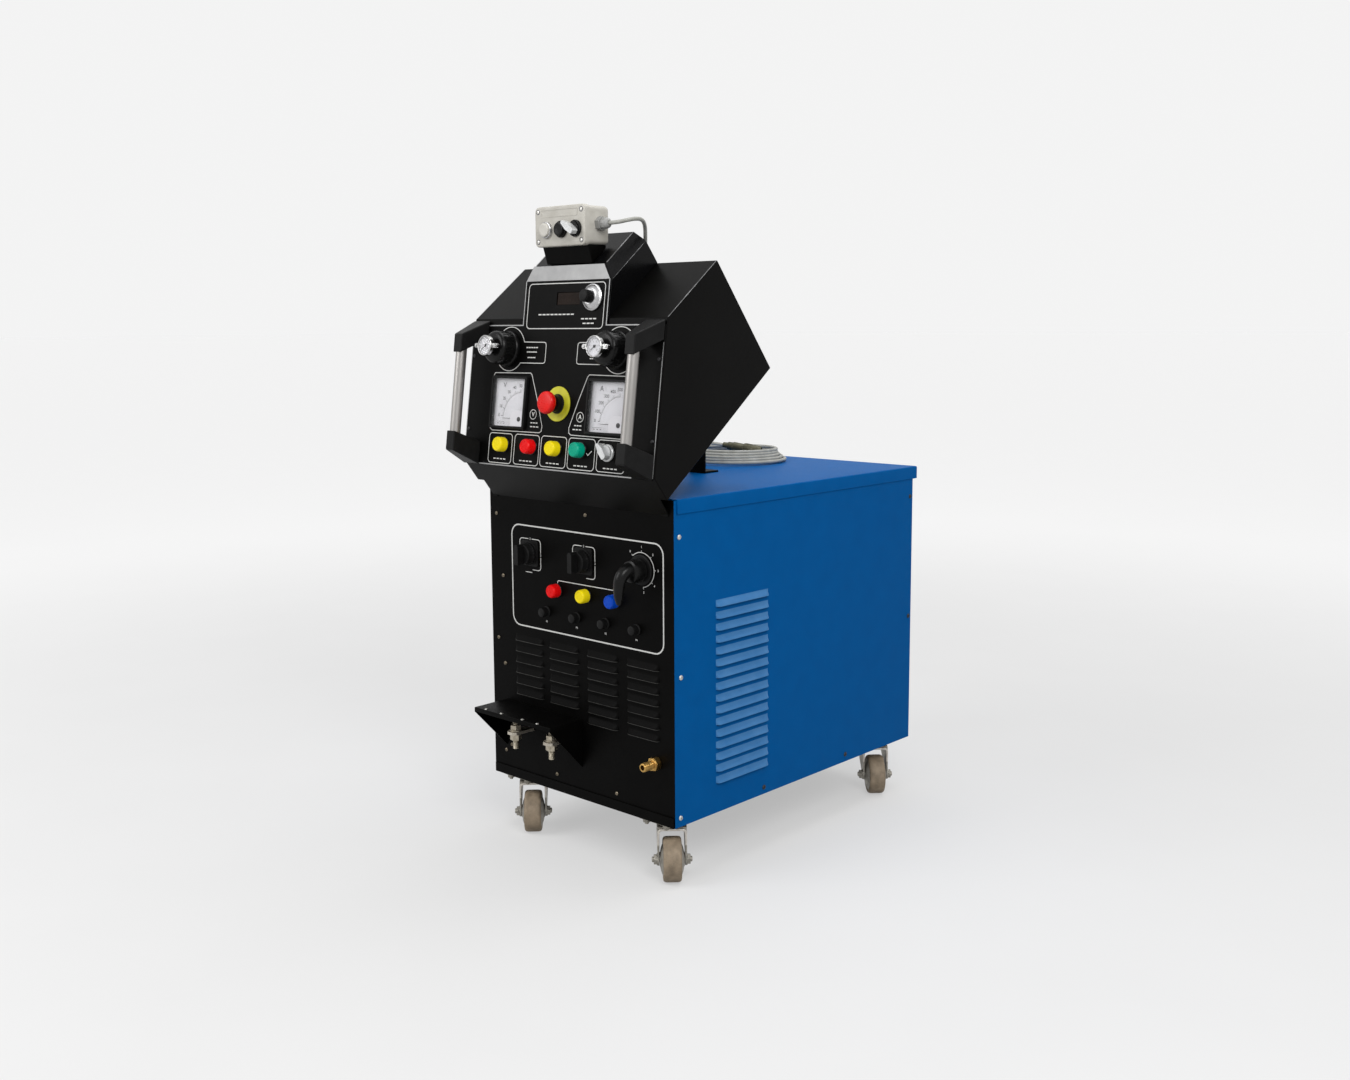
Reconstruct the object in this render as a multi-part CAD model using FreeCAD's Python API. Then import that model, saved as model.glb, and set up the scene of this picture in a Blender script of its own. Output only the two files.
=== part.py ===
import FreeCAD, Part
import math
import os

os.makedirs("parts", exist_ok=True)

V = FreeCAD.Vector

# Arc spray power source: a sheet steel cabinet on four swivel castors, with a tilted console
# on its front edge. Frame while modelling: x to the right, y to the back from the cabinet's
# front face, z up from the floor, in mm.

# cabinet
CAB_W = 480.0
CAB_D = 731.0
BASE_Z = 110.0
LID_Z = 686.0
SHEET = 2.0
TRAY_H = 18.0
SIDE_RETURN = 7.0
FRONT_RETURN = 15.0
LID_LIP = 25.5
LID_START = 7.0
LID_REAR = 12.0
LID_SIDE = 2.0

# louvres
LOUVRE_SHEET = 1.2
LOUVRE_OUT = 6.0
LOUVRE_TALL = 11.0
SIDE_LOUVRE_LEN = 146.0
SIDE_LOUVRE_START = 108.0
SIDE_LOUVRE_TOP = 488.0
SIDE_LOUVRE_PITCH = 21.4
SIDE_LOUVRE_ROWS = 16
FRONT_LOUVRE_LEN = 77.0
FRONT_LOUVRE_XS = (-171.0, -75.0, 26.0, 127.0)
FRONT_LOUVRE_TOP = 386.0
FRONT_LOUVRE_PITCH = 20.9
FRONT_LOUVRE_ROWS = 7
LOUVRE_MOUTH = 2.0
SIDE_BEND = 4.0

# rear panel
FAN_Z = 430.0
FAN_HOLE_R = 112.0
GUARD_ROWS = 5
GUARD_PITCH = 20.0
GUARD_SLOT = 12.0
GUARD_RIB = 8.0
MAINS_X = -150.0
MAINS_Z = 190.0
MAINS_R = 9.0
MAINS_WALL = 4.0
MAINS_IN = 12.0
MAINS_OUT = 20.0
MAINS_FLATS = 34.0
MAINS_NUT = 9.0

# screws
SCREW_R = 2.5
SCREW_HEAD_R = 5.0
SCREW_HEAD = 2.2
SCREW_SHANK = 6.0
OUTER_SCREW = CAB_W / 2 - 18.0
INNER_SCREW = CAB_W / 2 - 35.0
FRONT_SCREWS = ((-OUTER_SCREW, 623.0), (-INNER_SCREW, 504.0), (-OUTER_SCREW, 380.5), (-INNER_SCREW, 332.0),
                (24.0, 641.0), (-61.0, 142.0), (97.0, 141.0), (-INNER_SCREW + 16.0, 173.0),
                (-INNER_SCREW, 159.0))
REAR_EDGE_SCREW = CAB_D - 9.0
SIDE_SCREWS = ((13.0, 621.0), (16.0, 376.0), (14.0, 126.0), (REAR_EDGE_SCREW, 624.0),
                (REAR_EDGE_SCREW, 372.0),
               (CAB_D / 3, 123.0), (CAB_D * 0.687, 125.0))
REAR_SCREW_X = CAB_W / 2 - 15.0
REAR_SCREWS = tuple((side * REAR_SCREW_X, z) for z in (640.0, 400.0, 160.0) for side in (-1, 1))

# castors
WHEEL_R = 40.0
TREAD_W = 33.0
TREAD_THICK = 9.0
AXLE_R = 5.0
TRAIL = 35.0
CASTOR_X = CAB_W / 2 - 56.0
CASTOR_Y0 = 50.0
CASTOR_Y1 = CAB_D - 53.0
CASTOR_TURN = -45.0
PLATE_X = 67.0
PLATE_Y = 95.0
PLATE_T = 3.0
KING_R = 6.0
RACE_R = 24.0
RACE_H = 6.0
CROWN_T = 4.0
LEG_T = 3.0
WHEEL_SIDE_GAP = 1.5
HUB_R = 13.0
DISH = 4.0
SHOULDER = 4.0
AXLE_BOSS_R = 11.0
AXLE_NUT = 17.0
AXLE_NUT_T = 7.0
BRACE_DROP = 9.0
KING_HEAD = 19.0
KING_HEAD_T = 4.0
CASTOR_BOLT_X = 24.0
CASTOR_BOLT_Y = 38.0
CASTOR_BOLT_R = 4.0
CASTOR_NUT = 13.0
CASTOR_NUT_T = 6.0

# rotary switches, lamps and fuses on the cabinet front
SWITCH_PLATE = 56.0
SWITCH_PLATE_T = 4.0
RANGE_SWITCH = (-126.5, 555.5)
FINE_SWITCH = (18.5, 556.7)
MAIN_SWITCH = (163.0, 557.6)
SWITCH_KNOB_R = 21.0
SWITCH_KNOB_H = 17.0
GRIP_W = 11.0
GRIP_H = 15.0
MAIN_PLATE_R = 27.0
MAIN_HUB_R = 21.0
MAIN_HUB_H = 26.0
MAIN_LEVER_R = 8.5
MAIN_LEVER_OUT = 48.0
MAIN_LEVER_LEN = 64.0
MAIN_LEVER_BEND = 16.0
SHAFT_R = 4.0
SPINDLE_IN = 18.0
SWITCH_BLOCK = 44.0
SWITCH_DEPTH = 42.0
SWITCH_ROUND = 6.0
CAB_LAMP_Z = 494.0
CAB_LAMP_R = 13.5
CAB_LAMP_XS = {"red": -53.0, "yellow": 24.0, "blue": 98.0}
FUSE_Z = 450.0
FUSE_XS = (-83.0, -2.0, 73.0, 150.0)
FUSE_R = 8.5
FUSE_H = 15.0
FUSE_BODY_R = 6.5
FUSE_DEPTH = 36.0

# terminal hood, output bars and air inlet
HOOD_X0 = -205.0
HOOD_X1 = 8.0
HOOD_OUT = 79.0
HOOD_Z = 261.0
HOOD_DROP = 91.0
HOOD_LIP = 8.0
HOOD_EDGE = 18.0
HOOD_RIVETS = 5
RIVET_R = 3.5
BAR_XS = (-137.0, -37.0)
BAR_W = 25.0
BAR_T = 6.0
BAR_OUT = 50.0
BAR_Z = 216.0
STUD_Y = -35.0
STUD_R = 6.0
STUD_SHANK_R = 6.6
STUD_LEN = 64.0
STUD_NUT = 19.0
NUT_T = 9.0
WASHER_R = 12.0
WASHER_T = 2.5
BAR_IN = 45.0
AIR_X = CAB_W / 2 - 43.0
AIR_Z = 219.0
AIR_AF = 22.0
AIR_OUT = 37.0
AIR_BORE_R = 4.5
AIR_TAIL_R = 8.0
AIR_HEX_T = 12.0
AIR_IN = 25.0

# inside the cabinet
RAIL_W = 40.0
RAIL_H = 28.0
RAIL_T = 4.0
CORE_X = 300.0
CORE_Y0 = 205.0
CORE_Y1 = 425.0
CORE_Z = 280.0
CORE_LEG = 50.0
COIL_OVER = 45.0
COIL_ROUND = 18.0
CLAMP_T = 10.0
SINK_X = 320.0
SINK_Y = 500.0
SINK_Z = 260.0
SINK_TALL = 160.0
SINK_BASE = 10.0
SINK_DEEP = 70.0
SINK_FINS = 10
DIODES = 3
MOTOR_R = 38.0
MOTOR_LEN = 50.0
MOTOR_SHAFT_R = 5.0
FAN_SPACE = 46.0
ARM_R = 118.0
ARM_W = 16.0
FAN_R = 100.0
FAN_HUB_R = 22.0
FAN_HUB_L = 26.0
FAN_BLADES = 5
FAN_CHORD = 46.0
FAN_PITCH = 32.0

# console
FACE_TILT = 7.5
SLOPE = 38.0
CON_HALF = 247.0
FACE_LOW_Y = -56.5
FACE_LOW_Z = 730.0
FACE_LEN = 260.0
TOP_LEN = 161.8
REAR_LEN = 236.6
CON_SHEET = 2.0
PLATE_THICK = 3.0
FACE_HALF = CON_HALF - 1.0
FACE_BOTTOM = -7.0
FACE_TOP = 252.0
FLANGE_HALF = CON_HALF - 18.0
TAB_HALF = 108.0
TAB_TOP_HALF = 90.0
HOUSING_FOLD = 48.0
HOUSING_H = 68.0

# console instruments, x across and e up the tilted face
REG_X = 141.0
REG_E = 208.0
REG_KNOB_R0 = 32.0
REG_KNOB_R1 = 26.0
REG_KNOB_H = 50.0
REG_BARREL_R = 10.0
REG_RIBS = 16
REG_RIB = 0.05
GAUGE_R = 20.0
GAUGE_H = 9.0
GAUGE_BAR_L = 61.0
GAUGE_BAR_W = 8.0
GAUGE_BAR_T = 5.0
GAUGE_RIM = 2.5
GAUGE_NEEDLE = 13.0
GAUGE_REST = 35.0
REG_DEPTH = 60.0
REG_BOWL_R = 24.0
METER_X = 127.0
METER_E = 110.5
METER_CASE = 96.0
METER_WINDOW = 87.0
METER_OUT = 7.0
METER_BODY = 88.0
METER_DEPTH = 42.0
METER_PIVOT = 29.0
METER_NEEDLE = 56.0
METER_WELL = 5.0
METER_ROUND = 3.0
METER_PANE = 3.5
PANE_T = 1.2
PIN_R = 1.2
PIN_TALL = 2.5
NEEDLE_HUB = 2.0
NEEDLE_T = 0.8
STOP_X = 3.0
STOP_E = 112.0
STOP_RING_R = 31.0
STOP_COLLAR_R = 15.0
STOP_HEAD_R = 20.0
STOP_HEAD_H = 35.0
STOP_HEAD_T = 14.0
STOP_TRAVEL = 6.0
STOP_STEM_R = 7.0
STOP_NECK_R = 11.0
STOP_BLOCK = 38.0
CON_LAMP_R = 15.0
LAMP_OUT = 12.0
LAMP_BODY_R = 11.0
LAMP_BODY_LEN = 34.0
LAMP_NUT = 28.0
CON_LAMPS = {"yellow": ((-134.0, 33.5), (7.0, 31.5)), "red": ((-58.0, 33.0),), "green": ((69.0, 31.0),)}
SELECT_X = 137.0
SELECT_E = 33.0
DISPLAY_X0 = -23.0
DISPLAY_X1 = 36.0
DISPLAY_E0 = 287.0
DISPLAY_E1 = 309.0
DISPLAY_DEPTH = 14.0
DIAL_X = 70.0
DIAL_E = 299.0
DIAL_SKIRT_R = 23.5
DIAL_KNOB_R = 11.0
DIAL_OUT = 26.0

# handles
TUBE_R = 10.0
TUBE_WALL = 2.0
TUBE_X = CON_HALF - 25.0
TUBE_H = 45.0
BRACKET_OUT = 56.0
BRACKET_ROOT = (CON_HALF - 47.0, CON_HALF - 1.0)
BRACKET_TIP = (CON_HALF - 36.0, CON_HALF - 14.0)
UPPER_ROOT = (226.0, 260.0)
UPPER_TIP = (195.0, 229.0)
LOWER_ROOT = (-7.0, 35.0)
LOWER_TIP = (15.0, 51.0)
TUBE_SEAT = 12.0

# rear stay
STAY_X0 = -35.0
STAY_X1 = 5.0
STAY_T = 4.0
STAY_Y = 345.0
STAY_TOE = 42.0
STAY_FLANGE = 45.0

# pendant
PEND_HALF = 64.0
PEND_Y0 = -30.0
PEND_Y1 = 30.0
PEND_TALL = 70.0
PEND_LID = 12.0
PEND_STEP = 1.5
PEND_WALL = 3.0
PEND_ROUND = 6.0
PEND_KEY_UP = 29.0
PEND_WHITE_X = -33.0
PEND_BLACK_X = 5.0
PEND_TURN_X = 41.0
PEND_KEY_R = 14.5
PEND_KEY_OUT = 9.0
PEND_KEY_TRAVEL = 3.0
PEND_KEY_RIM = 2.0
PEND_COLLAR = 5.0
PEND_SCREW_IN = 9.0
PEND_SCREW_R = 4.0
CRADLE_HALF = 58.0
CRADLE_SETBACK = 2.5
CRADLE_LEAN = 10.0
GLAND_Y = 6.0
GLAND_UP = 37.5
GLAND_R = 11.0
GLAND_LEN = 25.0
GLAND_THREAD_R = 6.0

# cord
CORD_D = 7.0
COIL_X = -118.0
COIL_Y = 572.0
COIL_OUT = 122.0
COIL_IN = 88.0
COIL_H = 38.0
PLUG_R = 12.5
PLUG_LEN = 80.0

# clearances
RUN_GAP = 0.05
FACE_GAP = 0.4
SOFT_GAP = 0.3


def block(x0, x1, y0, y1, z0, z1):
    return Part.makeBox(x1 - x0, y1 - y0, z1 - z0, V(x0, y0, z0))


def corners_of(radius):
    """Round solids are prisms with this many sides: more on large ones."""
    return 6 if radius < 5.5 else 8 if radius < 12 else 12 if radius < 24 else 16 if radius < 60 else 24


def polygon(radius, x=0.0, y=0.0):
    sides = corners_of(radius)
    return [(x + radius * math.cos(2 * math.pi * i / sides), y + radius * math.sin(2 * math.pi * i / sides))
            for i in range(sides)]


def rod(radius, low, high, x=0.0, y=0.0):
    return prism(polygon(radius, x, y), low, high)


def bore(radius, low, high, x=0.0, y=0.0):
    """A hole whose flats keep this radius clear all round."""
    return rod(radius / math.cos(math.pi / corners_of(radius)), low, high, x, y)


def true_rod(radius, low, high, x=0.0, y=0.0):
    return Part.makeCylinder(radius, high - low, V(x, y, low))


def cone(radius_low, radius_high, low, high, x=0.0, y=0.0):
    return moved(turned([(0, low), (radius_low, low), (radius_high, high), (0, high)]), x, y)


def ring(outer, inner, low, high, x=0.0, y=0.0):
    return rod(outer, low, high, x, y).cut(rod(inner, low - 1.0, high + 1.0, x, y))


def prism(points, low, high):
    face = Part.Face(Part.makePolygon([V(x, y, low) for x, y in points + points[:1]]))
    return face.extrude(V(0, 0, high - low))


def side_prism(points, x0, x1):
    face = Part.Face(Part.makePolygon([V(x0, y, z) for y, z in points + points[:1]]))
    return face.extrude(V(x1 - x0, 0, 0))


def turned(points):
    """A closed outline, as (radius, height), turned round z."""
    sides = corners_of(max(r for r, z in points))
    turns = [(math.cos(2 * math.pi * i / sides), math.sin(2 * math.pi * i / sides)) for i in range(sides)]
    faces = []
    for (r0, z0), (r1, z1) in zip(points, points[1:] + points[:1]):
        for (c0, s0), (c1, s1) in zip(turns, turns[1:] + turns[:1]):
            corners = [V(r0 * c0, r0 * s0, z0)]
            if r0 > 0:
                corners.append(V(r0 * c1, r0 * s1, z0))
            if r1 > 0:
                corners.append(V(r1 * c1, r1 * s1, z1))
            corners.append(V(r1 * c0, r1 * s0, z1))
            if len(corners) > 2:
                faces.append(Part.Face(Part.makePolygon(corners + corners[:1])))
    body = Part.Solid(Part.Shell(faces)).removeSplitter()
    if body.Volume < 0:
        body.reverse()
    return body


def skin(low_ring, high_ring):
    """A solid between two rings of points with the same count, whose side faces are flat."""
    faces = [Part.Face(Part.makePolygon(ring_points + ring_points[:1]))
             for ring_points in (low_ring, high_ring)]
    for a, b, c, d in zip(low_ring, low_ring[1:] + low_ring[:1], high_ring[1:] + high_ring[:1], high_ring):
        faces.append(Part.Face(Part.makePolygon([a, b, c, d, a])))
    body = Part.Solid(Part.Shell(faces))
    if body.Volume < 0:
        body.reverse()
    return body


def hexagon(flats, low, high, x=0.0, y=0.0):
    radius = flats / math.sqrt(3.0)
    corners = [(x + radius * math.cos(math.radians(a)), y + radius * math.sin(math.radians(a)))
               for a in range(0, 360, 60)]
    return prism(corners, low, high)


def rounded(box, radius):
    """A box with its edges along z rounded."""
    b = box.BoundBox
    points = []
    for x, y, start in ((b.XMax - radius, b.YMax - radius, 0), (b.XMin + radius, b.YMax - radius, 90),
                        (b.XMin + radius, b.YMin + radius, 180), (b.XMax - radius, b.YMin + radius, 270)):
        for step in range(4):
            angle = math.radians(start + 30 * step)
            points.append((x + radius * math.cos(angle), y + radius * math.sin(angle)))
    return prism(points, b.ZMin, b.ZMax)


def joined(shapes):
    body = shapes[0].multiFuse(shapes[1:])
    return body.removeSplitter()


def mirrored(shape):
    return shape.mirror(V(0, 0, 0), V(1, 0, 0))


def moved(shape, x=0.0, y=0.0, z=0.0):
    copy = shape.copy()
    copy.translate(V(x, y, z))
    return copy


def turned_about(shape, angle, axis=V(0, 0, 1), centre=V(0, 0, 0)):
    copy = shape.copy()
    copy.rotate(centre, axis, angle)
    return copy


def placed(shape, frame):
    copy = shape.copy()
    copy.Placement = frame.multiply(copy.Placement)
    return copy


def group(shapes):
    return Part.makeCompound(shapes)


# Faces that carry instruments: local x across, local y up the face, local z outward.
tilt = math.radians(FACE_TILT)
slope = math.radians(SLOPE)
CONSOLE_FACE = FreeCAD.Placement(V(0, FACE_LOW_Y, FACE_LOW_Z),
                                 FreeCAD.Rotation(V(1, 0, 0), 90.0 - FACE_TILT))
CABINET_FACE = FreeCAD.Placement(V(0, 0, 0), FreeCAD.Rotation(V(1, 0, 0), 90.0))
PENDANT_FACE = FreeCAD.Placement(V(0, PEND_Y0, 0), FreeCAD.Rotation(V(1, 0, 0), 90.0))
SIDE_FACE = FreeCAD.Placement(FreeCAD.Matrix(0, 0, 1, CAB_W / 2 - SHEET, 1, 0, 0, 0, 0, 1, 0, 0, 0, 0, 0, 1))
SLOPE_FACE_TURN = FreeCAD.Rotation(V(1, 0, 0), 90.0 + SLOPE)

# Console side profile, as points (y, z): a tilted rectangle with its front corner cut off by
# the instrument face.
UP_FACE = (math.sin(tilt), math.cos(tilt))
OUT_FACE = (-math.cos(tilt), math.sin(tilt))
RISE = (math.cos(slope), math.sin(slope))
FALL = (math.sin(slope), -math.cos(slope))


def along(point, direction, length):
    return (point[0] + direction[0] * length, point[1] + direction[1] * length)


def meet(p, d, q, e):
    cross = d[0] * e[1] - d[1] * e[0]
    t = ((q[0] - p[0]) * e[1] - (q[1] - p[1]) * e[0]) / cross
    return along(p, d, t)


def inset(points, distances):
    count = len(points)
    lines = []
    for i in range(count):
        a = points[i]
        b = points[(i + 1) % count]
        length = math.hypot(b[0] - a[0], b[1] - a[1])
        d = ((b[0] - a[0]) / length, (b[1] - a[1]) / length)
        lines.append((along(a, (d[1], -d[0]), distances[i]), d))
    return [meet(lines[i - 1][0], lines[i - 1][1], lines[i][0], lines[i][1]) for i in range(count)]


FACE_LOW = (FACE_LOW_Y, FACE_LOW_Z)
FACE_HIGH = along(FACE_LOW, UP_FACE, FACE_LEN)
TOP_REAR = along(FACE_HIGH, RISE, TOP_LEN)
LOW_REAR = along(TOP_REAR, FALL, REAR_LEN)
FRONT_FALL = (LOW_REAR[0] - FACE_LOW[0]) * FALL[0] + (LOW_REAR[1] - FACE_LOW[1]) * FALL[1]
LOW_FRONT = along(FACE_LOW, FALL, FRONT_FALL)
PLATE_BACK = along(FACE_LOW, OUT_FACE, -PLATE_THICK)
FOLD_E = FACE_LEN + HOUSING_FOLD / math.cos(slope + tilt)
TAB_E = FACE_LEN + HOUSING_H / math.cos(slope + tilt)
HOUSING_TOP = along(FACE_LOW, UP_FACE, TAB_E)


def housing_top_z(y):
    return HOUSING_TOP[1] + (y - HOUSING_TOP[0]) * math.tan(slope)


PEND_LOW = housing_top_z(PEND_Y1) + SOFT_GAP
PEND_HIGH = PEND_LOW + PEND_TALL


# Cabinet

def base_frame():
    half = CAB_W / 2 - SHEET
    back = CAB_D - SHEET
    tray = block(-half, half, -SHEET, back, BASE_Z, BASE_Z + TRAY_H)
    well = block(-half + SHEET, half - SHEET, 0, back - SHEET, BASE_Z + SHEET, BASE_Z + TRAY_H + 1)
    rails = []
    for y in (CORE_Y0, CORE_Y1 - RAIL_W):
        rail = block(-half + SHEET, half - SHEET, y, y + RAIL_W, BASE_Z + SHEET, BASE_Z + SHEET + RAIL_H)
        under = block(-half, half, y + RAIL_T, y + RAIL_W - RAIL_T, BASE_Z, BASE_Z + SHEET + RAIL_H - RAIL_T)
        rails.append(rail.cut(under))
    inner = CAB_W / 2 - SIDE_RETURN
    notches = [block(x, x + half - inner, 0, SHEET, BASE_Z, BASE_Z + TRAY_H + 1) for x in (-half, inner)]
    holes = [rod(CASTOR_BOLT_R, BASE_Z - 1, BASE_Z + SHEET + 1, x, y) for x, y in castor_bolt_places()]
    side_holes = [placed(rod(SCREW_R, -2 * SHEET, SHEET, y, z), SIDE_FACE) for y, z in SIDE_SCREWS
                  if z < BASE_Z + TRAY_H]
    holes += side_holes + [mirrored(s) for s in side_holes]
    return joined([tray.cut(well)] + rails).cut(group(notches + holes))


def castor_places():
    return [(side * CASTOR_X, y) for y in (CASTOR_Y0, CASTOR_Y1) for side in (-1, 1)]


def castor_bolt_places():
    places = []
    for cx, cy in castor_places():
        for dx in (-CASTOR_BOLT_X, CASTOR_BOLT_X):
            for dy in (-CASTOR_BOLT_Y, CASTOR_BOLT_Y):
                places.append((cx + dx, cy + dy))
    return places


def louvre(length):
    """A pressed louvre on a face at z = 0, mouth down, and the hollow under it."""
    top = LOUVRE_TALL - LOUVRE_MOUTH
    t = LOUVRE_SHEET
    rise = top / LOUVRE_OUT
    inner_top = top - t * math.hypot(1, rise)
    deep = SHEET + t
    crest = LOUVRE_OUT * (1 + LOUVRE_MOUTH / top)
    outer = side_prism([(top, 0), (-LOUVRE_MOUTH, crest), (-LOUVRE_MOUTH, 0)], 0, length)
    reach = (inner_top + LOUVRE_MOUTH + t) / rise
    inner = side_prism([(inner_top + rise * deep, -deep), (-LOUVRE_MOUTH - t, reach),
                        (-LOUVRE_MOUTH - t, -deep)],
                       t, length - t)
    return outer, inner


def louvred(plate, places, length):
    outer, inner = louvre(length)
    hoods = [moved(outer, x, y) for x, y in places]
    hollows = [moved(inner, x, y) for x, y in places]
    return plate.multiFuse(hoods).cut(group(hollows)).removeSplitter()


def front_panel():
    half = CAB_W / 2 - SIDE_RETURN
    low = BASE_Z + SHEET
    high = LID_Z - SHEET
    plate = block(-half, half, low, high, -SHEET, 0)
    places = [(x, FRONT_LOUVRE_TOP - row * FRONT_LOUVRE_PITCH) for x in FRONT_LOUVRE_XS
              for row in range(FRONT_LOUVRE_ROWS)]
    places = [(x, z) for x, z in places if x > HOOD_X1 or z - LOUVRE_MOUTH > HOOD_Z]
    plate = louvred(plate, places, FRONT_LOUVRE_LEN)
    holes = [bore(SHAFT_R + RUN_GAP, -3, 1, x, z) for x, z in (RANGE_SWITCH, FINE_SWITCH, MAIN_SWITCH)]
    holes += [rod(LAMP_BODY_R, -3, 1, x, CAB_LAMP_Z) for x in CAB_LAMP_XS.values()]
    holes += [rod(FUSE_BODY_R, -3, 1, x, FUSE_Z) for x in FUSE_XS]
    holes += [block(x - BAR_W / 2, x + BAR_W / 2, BAR_Z - BAR_T / 2, BAR_Z + BAR_T / 2, -3, 1)
              for x in BAR_XS]
    holes.append(rod(AIR_TAIL_R, -3, 1, AIR_X, AIR_Z))
    holes += [rod(SCREW_R, -3, 1, x, z) for x, z in FRONT_SCREWS]
    plate = plate.cut(group(holes))
    returns = [block(side * half - (SHEET if side > 0 else 0),
                     side * half + (0 if side > 0 else SHEET), low, high,
                     -FRONT_RETURN, -SHEET) for side in (-1, 1)]
    return placed(joined([plate] + returns), CABINET_FACE)


def side_panel():
    high = LID_Z - SHEET
    plate = block(0, CAB_D, BASE_Z, high, 0, SHEET)
    return_face = block(0, SHEET, BASE_Z, high, SHEET - SIDE_RETURN, 0)
    body = plate.fuse(return_face).removeSplitter()
    corner = [e for e in body.Edges
              if abs(e.BoundBox.ZMin - SHEET) < 0.01 and abs(e.BoundBox.ZMax - SHEET) < 0.01
              and e.BoundBox.XMax < 0.01]
    body = moved(body.makeFillet(SIDE_BEND, corner), 0, 0, -SHEET)
    places = [(SIDE_LOUVRE_START, SIDE_LOUVRE_TOP - row * SIDE_LOUVRE_PITCH)
              for row in range(SIDE_LOUVRE_ROWS)]
    body = louvred(body, places, SIDE_LOUVRE_LEN)
    holes = [rod(SCREW_R, -SHEET - 1, 1, y, z) for y, z in SIDE_SCREWS]
    body = moved(body.cut(group(holes)), 0, 0, SHEET)
    return placed(body, SIDE_FACE)


def top_cover():
    half = CAB_W / 2 + LID_SIDE
    back = CAB_D + LID_REAR
    outer = block(-half, half, LID_START, back, LID_Z - LID_LIP, LID_Z)
    inner = block(-half + LID_SIDE, half - LID_SIDE, LID_START - 1, back - LID_SIDE, LID_Z - LID_LIP - 1,
                  LID_Z - SHEET)
    return outer.cut(inner)


def rear_panel():
    half = CAB_W / 2 - SHEET
    low = BASE_Z + TRAY_H
    high = LID_Z - SHEET
    plate = block(-half, half, low, high, -SHEET, 0)
    slots = []
    for row in range(-GUARD_ROWS, GUARD_ROWS + 1):
        z = row * GUARD_PITCH
        reach = math.sqrt(FAN_HOLE_R ** 2 - z ** 2)
        for x0, x1 in ((-reach, -GUARD_RIB / 2), (GUARD_RIB / 2, reach)):
            slots.append(block(x0, x1, FAN_Z + z - GUARD_SLOT / 2, FAN_Z + z + GUARD_SLOT / 2, -3, 1))
    slots.append(rod(MAINS_R + MAINS_WALL, -3, 1, MAINS_X, MAINS_Z))
    slots += [rod(SCREW_R, -3, 1, x, z) for x, z in REAR_SCREWS]
    plate = plate.cut(group(slots))
    foot = block(-half, half, low, low + SHEET, -FRONT_RETURN, -SHEET)
    return group([on_rear(joined([plate, foot])), mains_gland()])


def on_rear(body):
    return moved(turned_about(placed(body, CABINET_FACE), 180), 0, CAB_D)


def mains_gland():
    """Sleeve through the rear panel with a hexagon on it, and a bore for the mains cable."""
    sleeve = rod(MAINS_R + MAINS_WALL, -MAINS_IN, MAINS_OUT, MAINS_X, MAINS_Z)
    nut = hexagon(MAINS_FLATS, 0, MAINS_NUT, MAINS_X, MAINS_Z)
    hole = true_rod(MAINS_R, -MAINS_IN - 1, MAINS_OUT + 1, MAINS_X, MAINS_Z)
    return on_rear(joined([sleeve, nut]).cut(hole))


def fasteners():
    one = rod(SCREW_HEAD_R, 0, SCREW_HEAD).fuse(rod(SCREW_R, -SCREW_SHANK, 0)).removeSplitter()
    pieces = [placed(moved(one, x, z), CABINET_FACE) for x, z in FRONT_SCREWS]
    right = [placed(moved(one, y, z, SHEET), SIDE_FACE) for y, z in SIDE_SCREWS]
    pieces += right + [mirrored(s) for s in right]
    pieces += [on_rear(moved(one, x, z)) for x, z in REAR_SCREWS]
    for x, y in castor_bolt_places():
        bolt = hexagon(CASTOR_NUT, BASE_Z - PLATE_T - CASTOR_NUT_T, BASE_Z - PLATE_T, x, y)
        pieces.append(bolt.fuse(rod(CASTOR_BOLT_R, BASE_Z - PLATE_T, BASE_Z + SHEET, x, y)).removeSplitter())
    for x in BAR_XS:
        pieces += stud_nuts(x)
    return group(pieces)


# Castors

def caster_plates():
    pieces = []
    low = BASE_Z - PLATE_T
    for cx, cy in castor_places():
        plate = block(cx - PLATE_X / 2, cx + PLATE_X / 2, cy - PLATE_Y / 2, cy + PLATE_Y / 2, low, BASE_Z)
        race = cone(RACE_R - 3, RACE_R, low - RACE_H, low, cx, cy)
        king = rod(KING_R, low - RACE_H - CROWN_T - FACE_GAP - KING_HEAD_T, low - RACE_H, cx, cy)
        head = hexagon(KING_HEAD, low - RACE_H - CROWN_T - 2 * FACE_GAP - KING_HEAD_T,
                       low - RACE_H - CROWN_T - 2 * FACE_GAP, cx, cy)
        body = joined([plate, race, king, head])
        holes = [rod(CASTOR_BOLT_R, low - 1, BASE_Z + 1, cx + dx, cy + dy)
                 for dx in (-CASTOR_BOLT_X, CASTOR_BOLT_X) for dy in (-CASTOR_BOLT_Y, CASTOR_BOLT_Y)]
        pieces.append(body.cut(group(holes)))
    return group(pieces)


def cross_rod(radius, low, high):
    """A rod along the wheel's axis."""
    return moved(turned_about(rod(radius, low, high), -90, V(1, 0, 0)), TRAIL, 0, WHEEL_R)


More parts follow.
